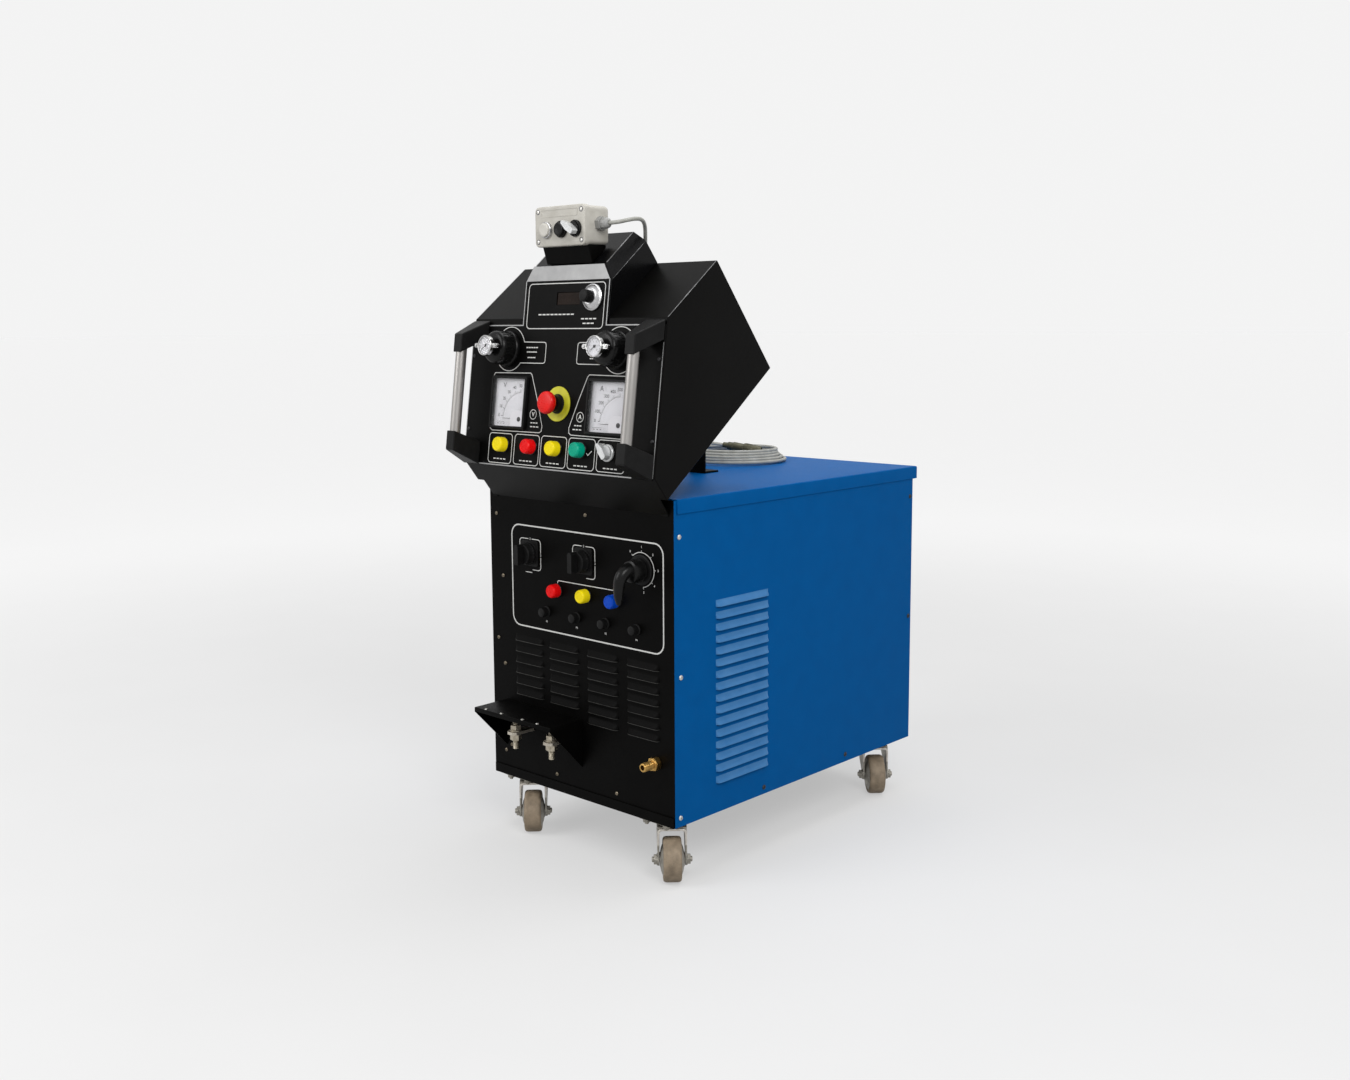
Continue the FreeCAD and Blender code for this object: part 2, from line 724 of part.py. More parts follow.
def caster_fork(cx, cy):
    """Pressed yoke: round crown, two tapering legs to the axle, and a brace over the wheel."""
    crown_high = BASE_Z - PLATE_T - RACE_H - FACE_GAP
    crown_low = crown_high - CROWN_T
    inner = TREAD_W / 2 + WHEEL_SIDE_GAP
    crown = rod(RACE_R + 3, crown_low, crown_high)
    end = AXLE_BOSS_R
    leg_points = [(-RACE_R, crown_high), (TRAIL + 4, crown_high), (TRAIL + end, WHEEL_R),
                  (TRAIL + end / 2, WHEEL_R - end), (TRAIL - end / 2, WHEEL_R - end), (TRAIL - end, WHEEL_R)]
    legs = []
    for side in (-1, 1):
        low = inner if side > 0 else -inner - LEG_T
        face = Part.Face(Part.makePolygon([V(u, low, w) for u, w in leg_points + leg_points[:1]]))
        legs.append(face.extrude(V(0, LEG_T, 0)))
    bridge = block(-RACE_R, TRAIL + 4, -inner - LEG_T, inner + LEG_T, crown_low, crown_high)
    brace = block(TRAIL + 1, TRAIL + 4, -inner, inner, crown_low - BRACE_DROP, crown_low)
    body = joined([crown, bridge, brace] + legs)
    body = body.cut(bore(KING_R + RUN_GAP, crown_low - 1, crown_high + 1))
    reach = inner + LEG_T + AXLE_NUT_T
    axle = cross_rod(AXLE_R, -reach, reach)
    nuts = []
    for low in (-inner - LEG_T - AXLE_NUT_T, inner + LEG_T):
        nut = hexagon(AXLE_NUT, 0, AXLE_NUT_T)
        nut = moved(turned_about(nut, -90, V(1, 0, 0)), TRAIL, low, WHEEL_R)
        nuts.append(nut)
    body = joined([body, axle] + nuts)
    return moved(turned_about(body, CASTOR_TURN), cx, cy)


def caster_wheel(cx, cy):
    """Cast core with a hub longer than its tread, and a moulded tread with rounded shoulders."""
    half = TREAD_W / 2
    rim = WHEEL_R - TREAD_THICK
    hub = half + WHEEL_SIDE_GAP - FACE_GAP
    inside = (AXLE_R + RUN_GAP) / math.cos(math.pi / corners_of(WHEEL_R))
    half_profile = [(inside, 0), (inside, hub), (HUB_R, hub), (HUB_R + 2, half - DISH), (rim, half - DISH),
                    (WHEEL_R - SHOULDER, half), (WHEEL_R, half - SHOULDER), (WHEEL_R, 0)]
    half_body = turned(half_profile)
    body = half_body.fuse(half_body.mirror(V(0, 0, 0), V(0, 0, 1))).removeSplitter()
    body = moved(turned_about(body, -90, V(1, 0, 0)), TRAIL, 0, WHEEL_R)
    return moved(turned_about(body, CASTOR_TURN), cx, cy)


# Front controls

def switch_body(x, y, plate):
    """Plate outside, contact block inside, with a bore through both for the spindle."""
    shaft = bore(SHAFT_R + RUN_GAP, -SWITCH_DEPTH, SWITCH_PLATE_T + 1, x, y)
    half = SWITCH_BLOCK / 2
    inside = block(x - half, x + half, y - half, y + half, -SHEET - SWITCH_DEPTH, -SHEET)
    return [plate.cut(shaft), inside.cut(shaft)]


def switch_plates():
    pieces = []
    half = SWITCH_PLATE / 2
    for x, y in (RANGE_SWITCH, FINE_SWITCH):
        plate = rounded(block(x - half, x + half, y - half, y + half, 0, SWITCH_PLATE_T), SWITCH_ROUND)
        pieces += switch_body(x, y, plate)
    x, y = MAIN_SWITCH
    pieces += switch_body(x, y, rod(MAIN_PLATE_R, 0, SWITCH_PLATE_T, x, y))
    return placed(group(pieces), CABINET_FACE)


def grip_knob(radius, skirt, grip, shaft_depth, base):
    """Round knob with a straight finger grip across its face, on a spindle."""
    disc = cone(radius, radius - 2, base, base + skirt)
    half = GRIP_W / 2
    bar = prism([(-half, -radius + 3), (half, -radius + 3), (half, radius - 6), (0, radius - 1),
                 (-half, radius - 6)],
                base, base + skirt + grip)
    bar = bar.common(cone(radius, radius - 4, base, base + skirt + grip))
    return joined([disc, bar, rod(SHAFT_R, -shaft_depth, base)])


def range_switch_knob():
    knob = grip_knob(SWITCH_KNOB_R, SWITCH_KNOB_H, GRIP_H, SPINDLE_IN, SWITCH_PLATE_T + FACE_GAP)
    return placed(moved(knob, RANGE_SWITCH[0], RANGE_SWITCH[1]), CABINET_FACE)


def fine_switch_knob():
    knob = grip_knob(SWITCH_KNOB_R, SWITCH_KNOB_H, GRIP_H, SPINDLE_IN, SWITCH_PLATE_T + FACE_GAP)
    return placed(moved(knob, FINE_SWITCH[0], FINE_SWITCH[1]), CABINET_FACE)


def main_switch_handle():
    """Hub with a gooseneck lever that rises out of it and turns down along the face."""
    base = SWITCH_PLATE_T + FACE_GAP
    hub = cone(MAIN_HUB_R, MAIN_HUB_R - 3, base, base + MAIN_HUB_H)
    bend = MAIN_LEVER_BEND
    path = Part.makePolygon([V(0, 0, base + 4), V(0, 0, MAIN_LEVER_OUT - bend),
                             V(0, -bend / 3, MAIN_LEVER_OUT - bend / 3),
                             V(0, -bend, MAIN_LEVER_OUT), V(0, -MAIN_LEVER_LEN, MAIN_LEVER_OUT)])
    outline = polygon(MAIN_LEVER_R)
    section = Part.makePolygon([V(x, y, base + 4) for x, y in outline + outline[:1]])
    lever = path.makePipeShell([section], True, False, 1)
    tip = moved(turned_about(cone(MAIN_LEVER_R, MAIN_LEVER_R / 2, 0, MAIN_LEVER_R / 2), 90, V(1, 0, 0)), 0,
                -MAIN_LEVER_LEN, MAIN_LEVER_OUT)
    body = joined([hub, lever, tip, rod(SHAFT_R, -SPINDLE_IN, base)])
    return placed(moved(body, MAIN_SWITCH[0], MAIN_SWITCH[1]), CABINET_FACE)


def lamp(radius, frame, x, y, sheet):
    """Pilot lamp: bezel step, domed lens and a body through the sheet."""
    profile = [(0, 0), (radius, 0), (radius, 3), (radius - 2, LAMP_OUT - 3), (radius - 5, LAMP_OUT),
               (0, LAMP_OUT)]
    head = turned(profile)
    body = rod(LAMP_BODY_R, -LAMP_BODY_LEN, 0)
    nut = hexagon(LAMP_NUT, -sheet - 4, -sheet)
    return placed(moved(joined([head, body, nut]), x, y), frame)


def lamps(colour):
    pieces = [lamp(CON_LAMP_R, CONSOLE_FACE, x, e, PLATE_THICK) for x, e in CON_LAMPS.get(colour, ())]
    if colour in CAB_LAMP_XS:
        pieces.append(lamp(CAB_LAMP_R, CABINET_FACE, CAB_LAMP_XS[colour], CAB_LAMP_Z, SHEET))
    return group(pieces)


def fuse_holders():
    cap = turned([(0, 0), (FUSE_R + 1.5, 0), (FUSE_R + 1.5, 3), (FUSE_R - 1, FUSE_H), (0, FUSE_H)])
    slot = block(-FUSE_R, FUSE_R, -0.8, 0.8, FUSE_H - 2, FUSE_H + 1)
    body = rod(FUSE_BODY_R, -FUSE_DEPTH, 0)
    one = joined([cap.cut(slot), body])
    return group([placed(moved(one, x, FUSE_Z), CABINET_FACE) for x in FUSE_XS])


def terminal_hood():
    """Bent guard over the output studs: top sheet, two triangular cheeks and a fixing edge up the panel."""
    top = block(HOOD_X0, HOOD_X1, -HOOD_OUT, 0, HOOD_Z - SHEET, HOOD_Z)
    lip = block(HOOD_X0, HOOD_X1, -HOOD_OUT, -HOOD_OUT + SHEET, HOOD_Z - HOOD_LIP, HOOD_Z)
    edge = block(HOOD_X0 + SHEET, HOOD_X1 - SHEET, -SHEET, 0, HOOD_Z - HOOD_EDGE, HOOD_Z - SHEET)
    cheek = [(0, HOOD_Z), (-HOOD_OUT, HOOD_Z), (-HOOD_OUT, HOOD_Z - HOOD_LIP), (0, HOOD_Z - HOOD_DROP)]
    cheeks = [side_prism(cheek, x, x + SHEET) for x in (HOOD_X0, HOOD_X1 - SHEET)]
    body = joined([top, lip, edge] + cheeks)
    count = HOOD_RIVETS
    step = (HOOD_X1 - HOOD_X0) / count
    rivets = [cone(RIVET_R, RIVET_R - 1.5, HOOD_Z, HOOD_Z + 1.5, HOOD_X0 + step * (i + 0.5), -HOOD_OUT + 8)
              for i in range(count)]
    return joined([body] + rivets)


def output_busbars():
    pieces = []
    for x in BAR_XS:
        bar = block(x - BAR_W / 2, x + BAR_W / 2, -BAR_OUT, BAR_IN, BAR_Z - BAR_T / 2, BAR_Z + BAR_T / 2)
        nut_face = BAR_Z - BAR_T / 2 - WASHER_T - NUT_T
        shank = rod(STUD_SHANK_R, nut_face, BAR_Z + STUD_LEN / 2, x, STUD_Y)
        free_end = true_rod(STUD_R, BAR_Z - STUD_LEN / 2, nut_face, x, STUD_Y)
        pieces.append(joined([bar, shank, free_end]))
    return group(pieces)


def stud_nuts(x):
    """A washer and a nut above and below the bar."""
    bar = BAR_T / 2
    pieces = []
    for low, high in ((bar, bar + WASHER_T), (-bar - WASHER_T, -bar)):
        pieces.append(ring(WASHER_R, STUD_SHANK_R, BAR_Z + low, BAR_Z + high, x, STUD_Y))
    for low, high in ((bar + WASHER_T, bar + WASHER_T + NUT_T), (-bar - WASHER_T - NUT_T, -bar - WASHER_T)):
        nut = hexagon(STUD_NUT, BAR_Z + low, BAR_Z + high, x, STUD_Y)
        pieces.append(nut.cut(rod(STUD_SHANK_R, BAR_Z + low - 1, BAR_Z + high + 1, x, STUD_Y)))
    return pieces


def air_fitting():
    body = joined([hexagon(AIR_AF, 0, AIR_HEX_T), rod(AIR_TAIL_R, -AIR_IN, 0),
                   true_rod(AIR_TAIL_R, AIR_HEX_T, AIR_OUT)])
    body = body.cut(rod(AIR_BORE_R, -AIR_IN - 1, AIR_OUT + 1))
    return placed(moved(body, AIR_X, AIR_Z), CABINET_FACE)


# Inside the cabinet

def main_transformer():
    """Laminated core on the base rails, with two coils round its outer legs."""
    low = BASE_Z + SHEET + RAIL_H
    core = block(-CORE_X / 2, CORE_X / 2, CORE_Y0 + COIL_OVER, CORE_Y1 - COIL_OVER, low, low + CORE_Z)
    window = CORE_X / 2 - 1.5 * CORE_LEG
    pieces = []
    for side in (-1, 1):
        x = side * (CORE_LEG / 2 + window / 2)
        gap = block(x - window / 2, x + window / 2, 0, CAB_D, low + CORE_LEG, low + CORE_Z - CORE_LEG)
        core = core.cut(gap)
    feet = [block(-CORE_X / 2, CORE_X / 2, y, y + COIL_OVER, low, low + CLAMP_T)
            for y in (CORE_Y0, CORE_Y1 - COIL_OVER)]
    pieces.append(joined([core] + feet))
    leg = CORE_LEG / 2
    z0 = low + CORE_LEG + 1
    z1 = low + CORE_Z - CORE_LEG - 1
    outer = rounded(block(-leg - window + 2, leg + window - 2, CORE_Y0 + 4, CORE_Y1 - 4, z0, z1), COIL_ROUND)
    inner = block(-leg, leg, CORE_Y0 + COIL_OVER, CORE_Y1 - COIL_OVER, z0 - 1, z1 + 1)
    pieces.append(outer.cut(inner))
    return group(pieces)


def rectifier_stack():
    """Finned heat sink on two legs, with a row of stud diodes."""
    low = BASE_Z + SHEET
    pieces = [block(-SINK_X / 2, SINK_X / 2, SINK_Y, SINK_Y + SINK_BASE, SINK_Z, SINK_Z + SINK_TALL)]
    step = SINK_X / SINK_FINS
    for i in range(SINK_FINS):
        x = -SINK_X / 2 + step * (i + 0.5)
        pieces.append(block(x - 1.5, x + 1.5, SINK_Y + SINK_BASE, SINK_Y + SINK_DEEP, SINK_Z,
                            SINK_Z + SINK_TALL))
    for side in (-1, 1):
        x = side * (SINK_X / 2 - 10)
        pieces.append(block(x - 10, x + 10, SINK_Y, SINK_Y + 3, low, SINK_Z))
        pieces.append(block(x - 10, x + 10, SINK_Y, SINK_Y + 40, low, low + 3))
    for i in range(DIODES):
        x = SINK_X * ((i + 0.5) / DIODES - 0.5)
        diode = hexagon(24, 0, 10).fuse(rod(9, 10, 30))
        diode = moved(turned_about(diode, 90, V(1, 0, 0)), x, SINK_Y, SINK_Z + SINK_TALL / 2)
        pieces.append(diode)
    return joined(pieces)


def fan_motor():
    """Motor on four arms behind the punched grille of the rear panel."""
    face = CAB_D - SHEET
    arms = []
    for angle in (45, 135, 225, 315):
        bar = block(0, ARM_R, -ARM_W / 2, ARM_W / 2, 0, 3)
        pad = block(ARM_R - 12, ARM_R, -ARM_W / 2, ARM_W / 2, 0, FAN_SPACE + MOTOR_LEN)
        arm = turned_about(joined([bar, pad]), angle)
        arm = moved(turned_about(arm, -90, V(1, 0, 0)), 0, face - FAN_SPACE - MOTOR_LEN, FAN_Z)
        arms.append(arm)
    can = rod(MOTOR_R, 0, MOTOR_LEN).fuse(rod(MOTOR_SHAFT_R, MOTOR_LEN, MOTOR_LEN + FAN_SPACE - 8))
    can = moved(turned_about(can, -90, V(1, 0, 0)), 0, face - FAN_SPACE - MOTOR_LEN, FAN_Z)
    return joined([can] + arms)


def fan_blades():
    """Pitched blades on a hub that turns on the motor shaft."""
    hub = rod(FAN_HUB_R, 0, FAN_HUB_L)
    blades = []
    for i in range(FAN_BLADES):
        blade = block(FAN_HUB_R - 4, FAN_R, -FAN_CHORD / 2, FAN_CHORD / 2, -1, 1)
        blade = moved(turned_about(blade, FAN_PITCH, V(1, 0, 0)), 0, 0, FAN_HUB_L / 2)
        blades.append(turned_about(blade, 360.0 * i / FAN_BLADES))
    body = joined([hub] + blades).cut(bore(MOTOR_SHAFT_R + RUN_GAP, -5, FAN_HUB_L + 5))
    return moved(turned_about(body, -90, V(1, 0, 0)), 0, CAB_D - SHEET - FAN_SPACE + FACE_GAP * 2, FAN_Z)


# Console

def console_shell():
    low = meet(FACE_LOW, FALL, PLATE_BACK, UP_FACE)
    high = meet(FACE_HIGH, RISE, PLATE_BACK, UP_FACE)
    outline = [low, high, TOP_REAR, LOW_REAR, LOW_FRONT]
    outer = side_prism(outline, -CON_HALF, CON_HALF)
    t = CON_SHEET
    inner = side_prism(inset(outline, (-1.0, t, t, t, t)), -CON_HALF + t, CON_HALF - t)
    flange_end = meet(LOW_FRONT, FALL, (0, 0), (0, 1))
    inner_edge = along(LOW_FRONT, RISE, t)
    inner_end = meet(inner_edge, FALL, (0, 0), (0, 1))
    flange = side_prism([along(LOW_FRONT, FALL, -2 * t), flange_end, inner_end,
                         along(inner_edge, FALL, -2 * t)],
                        -FLANGE_HALF, FLANGE_HALF)
    return joined([outer.cut(inner), flange])


def console_front_panel():
    half = FACE_HALF
    outline = [(-half, FACE_BOTTOM), (half, FACE_BOTTOM), (half, FACE_TOP), (TAB_HALF, FACE_TOP),
               (TAB_HALF, FOLD_E),
               (TAB_TOP_HALF, TAB_E), (-TAB_TOP_HALF, TAB_E), (-TAB_HALF, FOLD_E), (-TAB_HALF, FACE_TOP),
               (-half, FACE_TOP)]
    plate = prism(outline, -PLATE_THICK, 0)
    body = METER_BODY / 2
    low = -PLATE_THICK - 1
    holes = [block(x - body, x + body, METER_E - body, METER_E + body, low, 1) for x in (-METER_X, METER_X)]
    holes += [rod(REG_BARREL_R, low, 1, x, REG_E) for x in (-REG_X, REG_X)]
    for places in CON_LAMPS.values():
        holes += [rod(LAMP_BODY_R, low, 1, x, e) for x, e in places]
    holes.append(rod(STOP_NECK_R, low, 1, STOP_X, STOP_E))
    holes.append(bore(SHAFT_R + RUN_GAP, low, 1, SELECT_X, SELECT_E))
    holes.append(bore(SHAFT_R + RUN_GAP, low, 1, DIAL_X, DIAL_E))
    holes.append(block(DISPLAY_X0, DISPLAY_X1, DISPLAY_E0, DISPLAY_E1, low, 1))
    return placed(plate.cut(group(holes)), CONSOLE_FACE)


def display_housing():
    section = [(-TAB_HALF, 0), (TAB_HALF, 0), (TAB_HALF, HOUSING_FOLD), (TAB_TOP_HALF, HOUSING_H),
               (-TAB_TOP_HALF, HOUSING_H), (-TAB_HALF, HOUSING_FOLD)]
    t = CON_SHEET
    outer = prism(section, -TOP_LEN, HOUSING_H)
    core = inset(section[::-1], (t, t, t, t, -1.0, t))
    inner = prism(core, -TOP_LEN + t, HOUSING_H + 1)
    frame = FreeCAD.Placement(V(0, FACE_HIGH[0], FACE_HIGH[1]), SLOPE_FACE_TURN)
    body = placed(outer.cut(inner), frame)
    front = placed(block(-CON_HALF, CON_HALF, 0, 2 * FACE_LEN, -PLATE_THICK, 4 * HOUSING_H), CONSOLE_FACE)
    return body.cut(front)


def rectangle(x, e, height):
    return [V(x[0], e[0], height), V(x[1], e[0], height), V(x[1], e[1], height), V(x[0], e[1], height)]


def tube_ends():
    share = TUBE_H / BRACKET_OUT
    low = LOWER_ROOT[1] + (LOWER_TIP[1] - LOWER_ROOT[1]) * share - TUBE_SEAT
    high = UPPER_ROOT[0] + (UPPER_TIP[0] - UPPER_ROOT[0]) * share + TUBE_SEAT
    return low, high


def handle_bar(radius):
    low, high = tube_ends()
    bar = rod(radius, 0, high - low)
    return moved(turned_about(bar, -90, V(1, 0, 0)), TUBE_X, low, TUBE_H)


def handle_brackets():
    """Tapered blocks that reach forward from the face and hold the tube's ends."""
    seat = handle_bar(TUBE_R)
    pieces = []
    for root, tip in ((UPPER_ROOT, UPPER_TIP), (LOWER_ROOT, LOWER_TIP)):
        arm = skin(rectangle(BRACKET_ROOT, root, 0), rectangle(BRACKET_TIP, tip, BRACKET_OUT)).cut(seat)
        pieces += [arm, mirrored(arm)]
    return placed(group(pieces), CONSOLE_FACE)


def handle_tubes():
    one = handle_bar(TUBE_R).cut(handle_bar(TUBE_R - TUBE_WALL))
    return placed(group([one, mirrored(one)]), CONSOLE_FACE)


def console_brackets():
    """A strap down the console's back, bent to stand on the lid, and a wedge under the pendant."""
    t = STAY_T
    start = along(LOW_REAR, FALL, -STAY_FLANGE)
    knee = meet(start, FALL, (STAY_Y, 0), (0, 1))
    outer_start = along(start, RISE, t)
    outer_knee = meet(outer_start, FALL, (STAY_Y + t, 0), (0, 1))
    toe = STAY_Y + STAY_TOE
    strap = side_prism([start, knee, (STAY_Y, LID_Z), (toe, LID_Z), (toe, LID_Z + t),
                        (STAY_Y + t, LID_Z + t),
                        outer_knee, outer_start], STAY_X0, STAY_X1)
    seat_z = PEND_LOW + PEND_STEP
    front = HOUSING_TOP[0] + CRADLE_SETBACK
    rear = PEND_Y1 - PEND_STEP - CRADLE_SETBACK
    cradle = side_prism([(front, housing_top_z(front)), (rear, housing_top_z(rear)), (rear, seat_z),
                         (front - CRADLE_LEAN, seat_z)], -CRADLE_HALF, CRADLE_HALF)
    return group([strap, cradle])


# Console instruments

def meter_cases():
    """Square panel meter: bezel in front of the sheet, dial in its well, housing behind."""
    half = METER_CASE / 2
    window = METER_WINDOW / 2
    body = METER_BODY / 2
    bezel = rounded(block(-half, half, -half, half, 0, METER_OUT), METER_ROUND)
    rear = block(-body, body, -body, body, -METER_DEPTH, 0)
    well = block(-window, window, -window, window, -METER_WELL, METER_OUT + 1)
    case = joined([bezel, rear]).cut(well)
    pin = rod(PIN_R, -METER_WELL, -METER_WELL + PIN_TALL, METER_PIVOT, -METER_PIVOT)
    one = joined([case, pin])
    return placed(group([moved(one, x, METER_E) for x in (-METER_X, METER_X)]), CONSOLE_FACE)


def needle(length, tail, width):
    """Flat needle along -x on a round hub that turns on its pin."""
    hub = rod(PIN_R + NEEDLE_HUB, 0, NEEDLE_T)
    arm = prism([(-length, -0.3), (0, -width / 2), (tail, -width / 2), (tail, width / 2), (0, width / 2),
                 (-length, 0.3)], 0, NEEDLE_T)
    return joined([hub, arm]).cut(bore(PIN_R + RUN_GAP, -1, NEEDLE_T + 1))


def meter_pointer(x):
    one = moved(needle(METER_NEEDLE, 6, 2.4), x + METER_PIVOT, METER_E - METER_PIVOT, -METER_WELL + FACE_GAP)
    return placed(one, CONSOLE_FACE)


def instrument_windows():
    window = METER_WINDOW / 2
    meter_pane = block(-window, window, -window, window, METER_PANE, METER_PANE + PANE_T)
    pieces = [moved(meter_pane, x, METER_E) for x in (-METER_X, METER_X)]
    pieces.append(block(DISPLAY_X0, DISPLAY_X1, DISPLAY_E0, DISPLAY_E1, -PLATE_THICK - DISPLAY_DEPTH, -1))
    top = REG_KNOB_H + 2 * FACE_GAP + GAUGE_H
    gauge_pane = rod(GAUGE_R - GAUGE_RIM, top - 1 - PANE_T, top - 1)
    pieces += [moved(gauge_pane, x, REG_E) for x in (-REG_X, REG_X)]
    return placed(group(pieces), CONSOLE_FACE)


def air_regulators():
    """Barrel through the panel, a cross fitting on its end, and a dial gauge on that."""
    low = REG_KNOB_H + 2 * FACE_GAP
    barrel = rod(REG_BARREL_R, -REG_DEPTH, low)
    bowl = rod(REG_BOWL_R, -REG_DEPTH, -PLATE_THICK)
    cross = block(-GAUGE_BAR_L / 2, GAUGE_BAR_L / 2, -GAUGE_BAR_W / 2, GAUGE_BAR_W / 2, low,
                  low + GAUGE_BAR_T)
    case = rod(GAUGE_R, low, low + GAUGE_H)
    well = rod(GAUGE_R - GAUGE_RIM, low + GAUGE_BAR_T, low + GAUGE_H + 1)
    pin = rod(PIN_R, low + GAUGE_BAR_T, low + GAUGE_BAR_T + NEEDLE_T + 2 * FACE_GAP)
    one = joined([joined([barrel, bowl, cross, case]).cut(well), pin])
    return placed(group([moved(one, x, REG_E) for x in (-REG_X, REG_X)]), CONSOLE_FACE)


def ribbed(radius, height):
    """Points of an outline with pointed ribs."""
    points = []
    for i in range(2 * REG_RIBS):
        reach = radius * (1 + REG_RIB if i % 2 else 1)
        angle = math.pi * i / REG_RIBS
        points.append(V(reach * math.cos(angle), reach * math.sin(angle), height))
    return points


def regulator_knob(x):
    """Ribbed bell round the barrel."""
    bell = skin(ribbed(REG_KNOB_R0, FACE_GAP), ribbed(REG_KNOB_R1, REG_KNOB_H))
    body = bell.cut(bore(REG_BARREL_R + RUN_GAP, -1, REG_KNOB_H + 1))
    return placed(moved(body, x, REG_E), CONSOLE_FACE)


def gauge_pointer(x):
    base = REG_KNOB_H + 2 * FACE_GAP + GAUGE_BAR_T + FACE_GAP
    one = turned_about(needle(GAUGE_NEEDLE, 4, 1.6), GAUGE_REST)
    return placed(moved(one, x, REG_E, base), CONSOLE_FACE)


def estop_collar():
    low = STOP_HEAD_H - STOP_HEAD_T - STOP_TRAVEL - 1
    collar = rod(STOP_COLLAR_R, PLATE_THICK, low)
    plate = rod(STOP_RING_R, 0, PLATE_THICK)
    neck = rod(STOP_NECK_R, -PLATE_THICK, 0)
    half = STOP_BLOCK / 2
    contact = block(-half, half, -half, half, -PLATE_THICK - STOP_BLOCK, -PLATE_THICK)
    body = joined([collar, plate, neck, contact])
    body = body.cut(bore(STOP_STEM_R + RUN_GAP, -PLATE_THICK - STOP_TRAVEL - 4, STOP_HEAD_H))
    return placed(moved(body, STOP_X, STOP_E), CONSOLE_FACE)


def estop_button():
    low = STOP_HEAD_H - STOP_HEAD_T
    head = turned([(0, low), (STOP_COLLAR_R + 2, low), (STOP_HEAD_R, low + 4),
                   (STOP_HEAD_R, STOP_HEAD_H - 5),
                   (STOP_HEAD_R - 3, STOP_HEAD_H - 1.5), (STOP_HEAD_R - 8, STOP_HEAD_H), (0, STOP_HEAD_H)])
    stem = rod(STOP_STEM_R, -PLATE_THICK - 2, low)
    return placed(moved(joined([head, stem]), STOP_X, STOP_E), CONSOLE_FACE)


def selector_knob():
    """Two position selector with a tapering lever across its round base."""
    base = turned([(0, FACE_GAP), (CON_LAMP_R, FACE_GAP), (CON_LAMP_R, 4), (CON_LAMP_R - 2, 8), (0, 8)])
    lever = prism([(-5, -12), (5, -12), (6, 4), (2, 19), (-2, 19), (-6, 4)], 6, 19)
    body = joined([base, turned_about(lever, 40), rod(SHAFT_R, -SPINDLE_IN, FACE_GAP)])
    return placed(moved(body, SELECT_X, SELECT_E), CONSOLE_FACE)


def dial_knob():
    """Counting dial: a wide turned skirt with a black finger knob on it."""
    skirt = turned([(0, FACE_GAP), (DIAL_SKIRT_R, FACE_GAP), (DIAL_SKIRT_R, 5), (DIAL_SKIRT_R - 4, 9),
                    (DIAL_KNOB_R + 2, 10), (0, 10)])
    knob = rod(DIAL_KNOB_R, 10, DIAL_OUT)
    body = joined([skirt, knob, rod(SHAFT_R, -PLATE_THICK - 8, FACE_GAP)])
    return placed(moved(body, DIAL_X, DIAL_E), CONSOLE_FACE)


# Pendant

def pendant_lid():
    lid = rounded(block(-PEND_HALF, PEND_HALF, PEND_LOW, PEND_HIGH, -PEND_LID, 0), PEND_ROUND)
    w = PEND_WALL
    hollow = rounded(block(-PEND_HALF + w, PEND_HALF - w, PEND_LOW + w, PEND_HIGH - w, -PEND_LID - 1, -w), w)
    lid = lid.cut(hollow)
    key = PEND_LOW + PEND_KEY_UP
    collars = []
    bores = []
    for x in (PEND_WHITE_X, PEND_BLACK_X, PEND_TURN_X):
        bores.append(bore(SHAFT_R + RUN_GAP, -PEND_LID - 1, 1, x, key))
        inner = PEND_KEY_R - PEND_KEY_RIM
        collar = rod(PEND_KEY_R, 0, PEND_COLLAR, x, key).cut(bore(inner, -1, PEND_COLLAR + 1, x, key))
        collars.append(collar)
    screws = []
    for sx in (-1, 1):
        for z in (PEND_LOW + PEND_SCREW_IN, PEND_HIGH - PEND_SCREW_IN):
            screws.append(rod(PEND_SCREW_R, -0.5, 0.8, sx * (PEND_HALF - PEND_SCREW_IN), z))
    return placed(joined([lid] + collars + screws).cut(group(bores)), PENDANT_FACE)


def pendant_base():
    s = PEND_STEP
    w = PEND_WALL
    deep = PEND_Y1 - PEND_Y0
    outer = block(-PEND_HALF + s, PEND_HALF - s, PEND_LOW + s, PEND_HIGH - s, -deep, -PEND_LID)
    outer = rounded(outer, PEND_ROUND)
    inner = rounded(block(-PEND_HALF + s + w, PEND_HALF - s - w, PEND_LOW + s + w,
                          PEND_HIGH - s - w, -deep + w, -PEND_LID + 1), w)
    body = placed(outer.cut(inner), PENDANT_FACE)
    entry = turned_about(rod(GLAND_THREAD_R, 0, 2 * PEND_ROUND), 90, V(0, 1, 0))
    entry = moved(entry, PEND_HALF - 2 * PEND_ROUND, GLAND_Y, gland_z())
    return body.cut(entry)


def gland_z():
    return PEND_LOW + GLAND_UP


def gland_end():
    return PEND_HALF - PEND_STEP + GLAND_LEN


def pendant_gland():
    nut = hexagon(2 * GLAND_R, 0, GLAND_LEN * 0.4)
    dome = turned([(0, GLAND_LEN * 0.4), (GLAND_R - 1, GLAND_LEN * 0.4), (GLAND_R - 1.5, GLAND_LEN * 0.75),
                   (CORD_D / 2 + 2, GLAND_LEN), (0, GLAND_LEN)])
    thread = rod(GLAND_THREAD_R, -PEND_WALL - 4, 0)
    body = joined([nut, dome, thread])
    return moved(turned_about(body, 90, V(0, 1, 0)), PEND_HALF - PEND_STEP, GLAND_Y, gland_z())


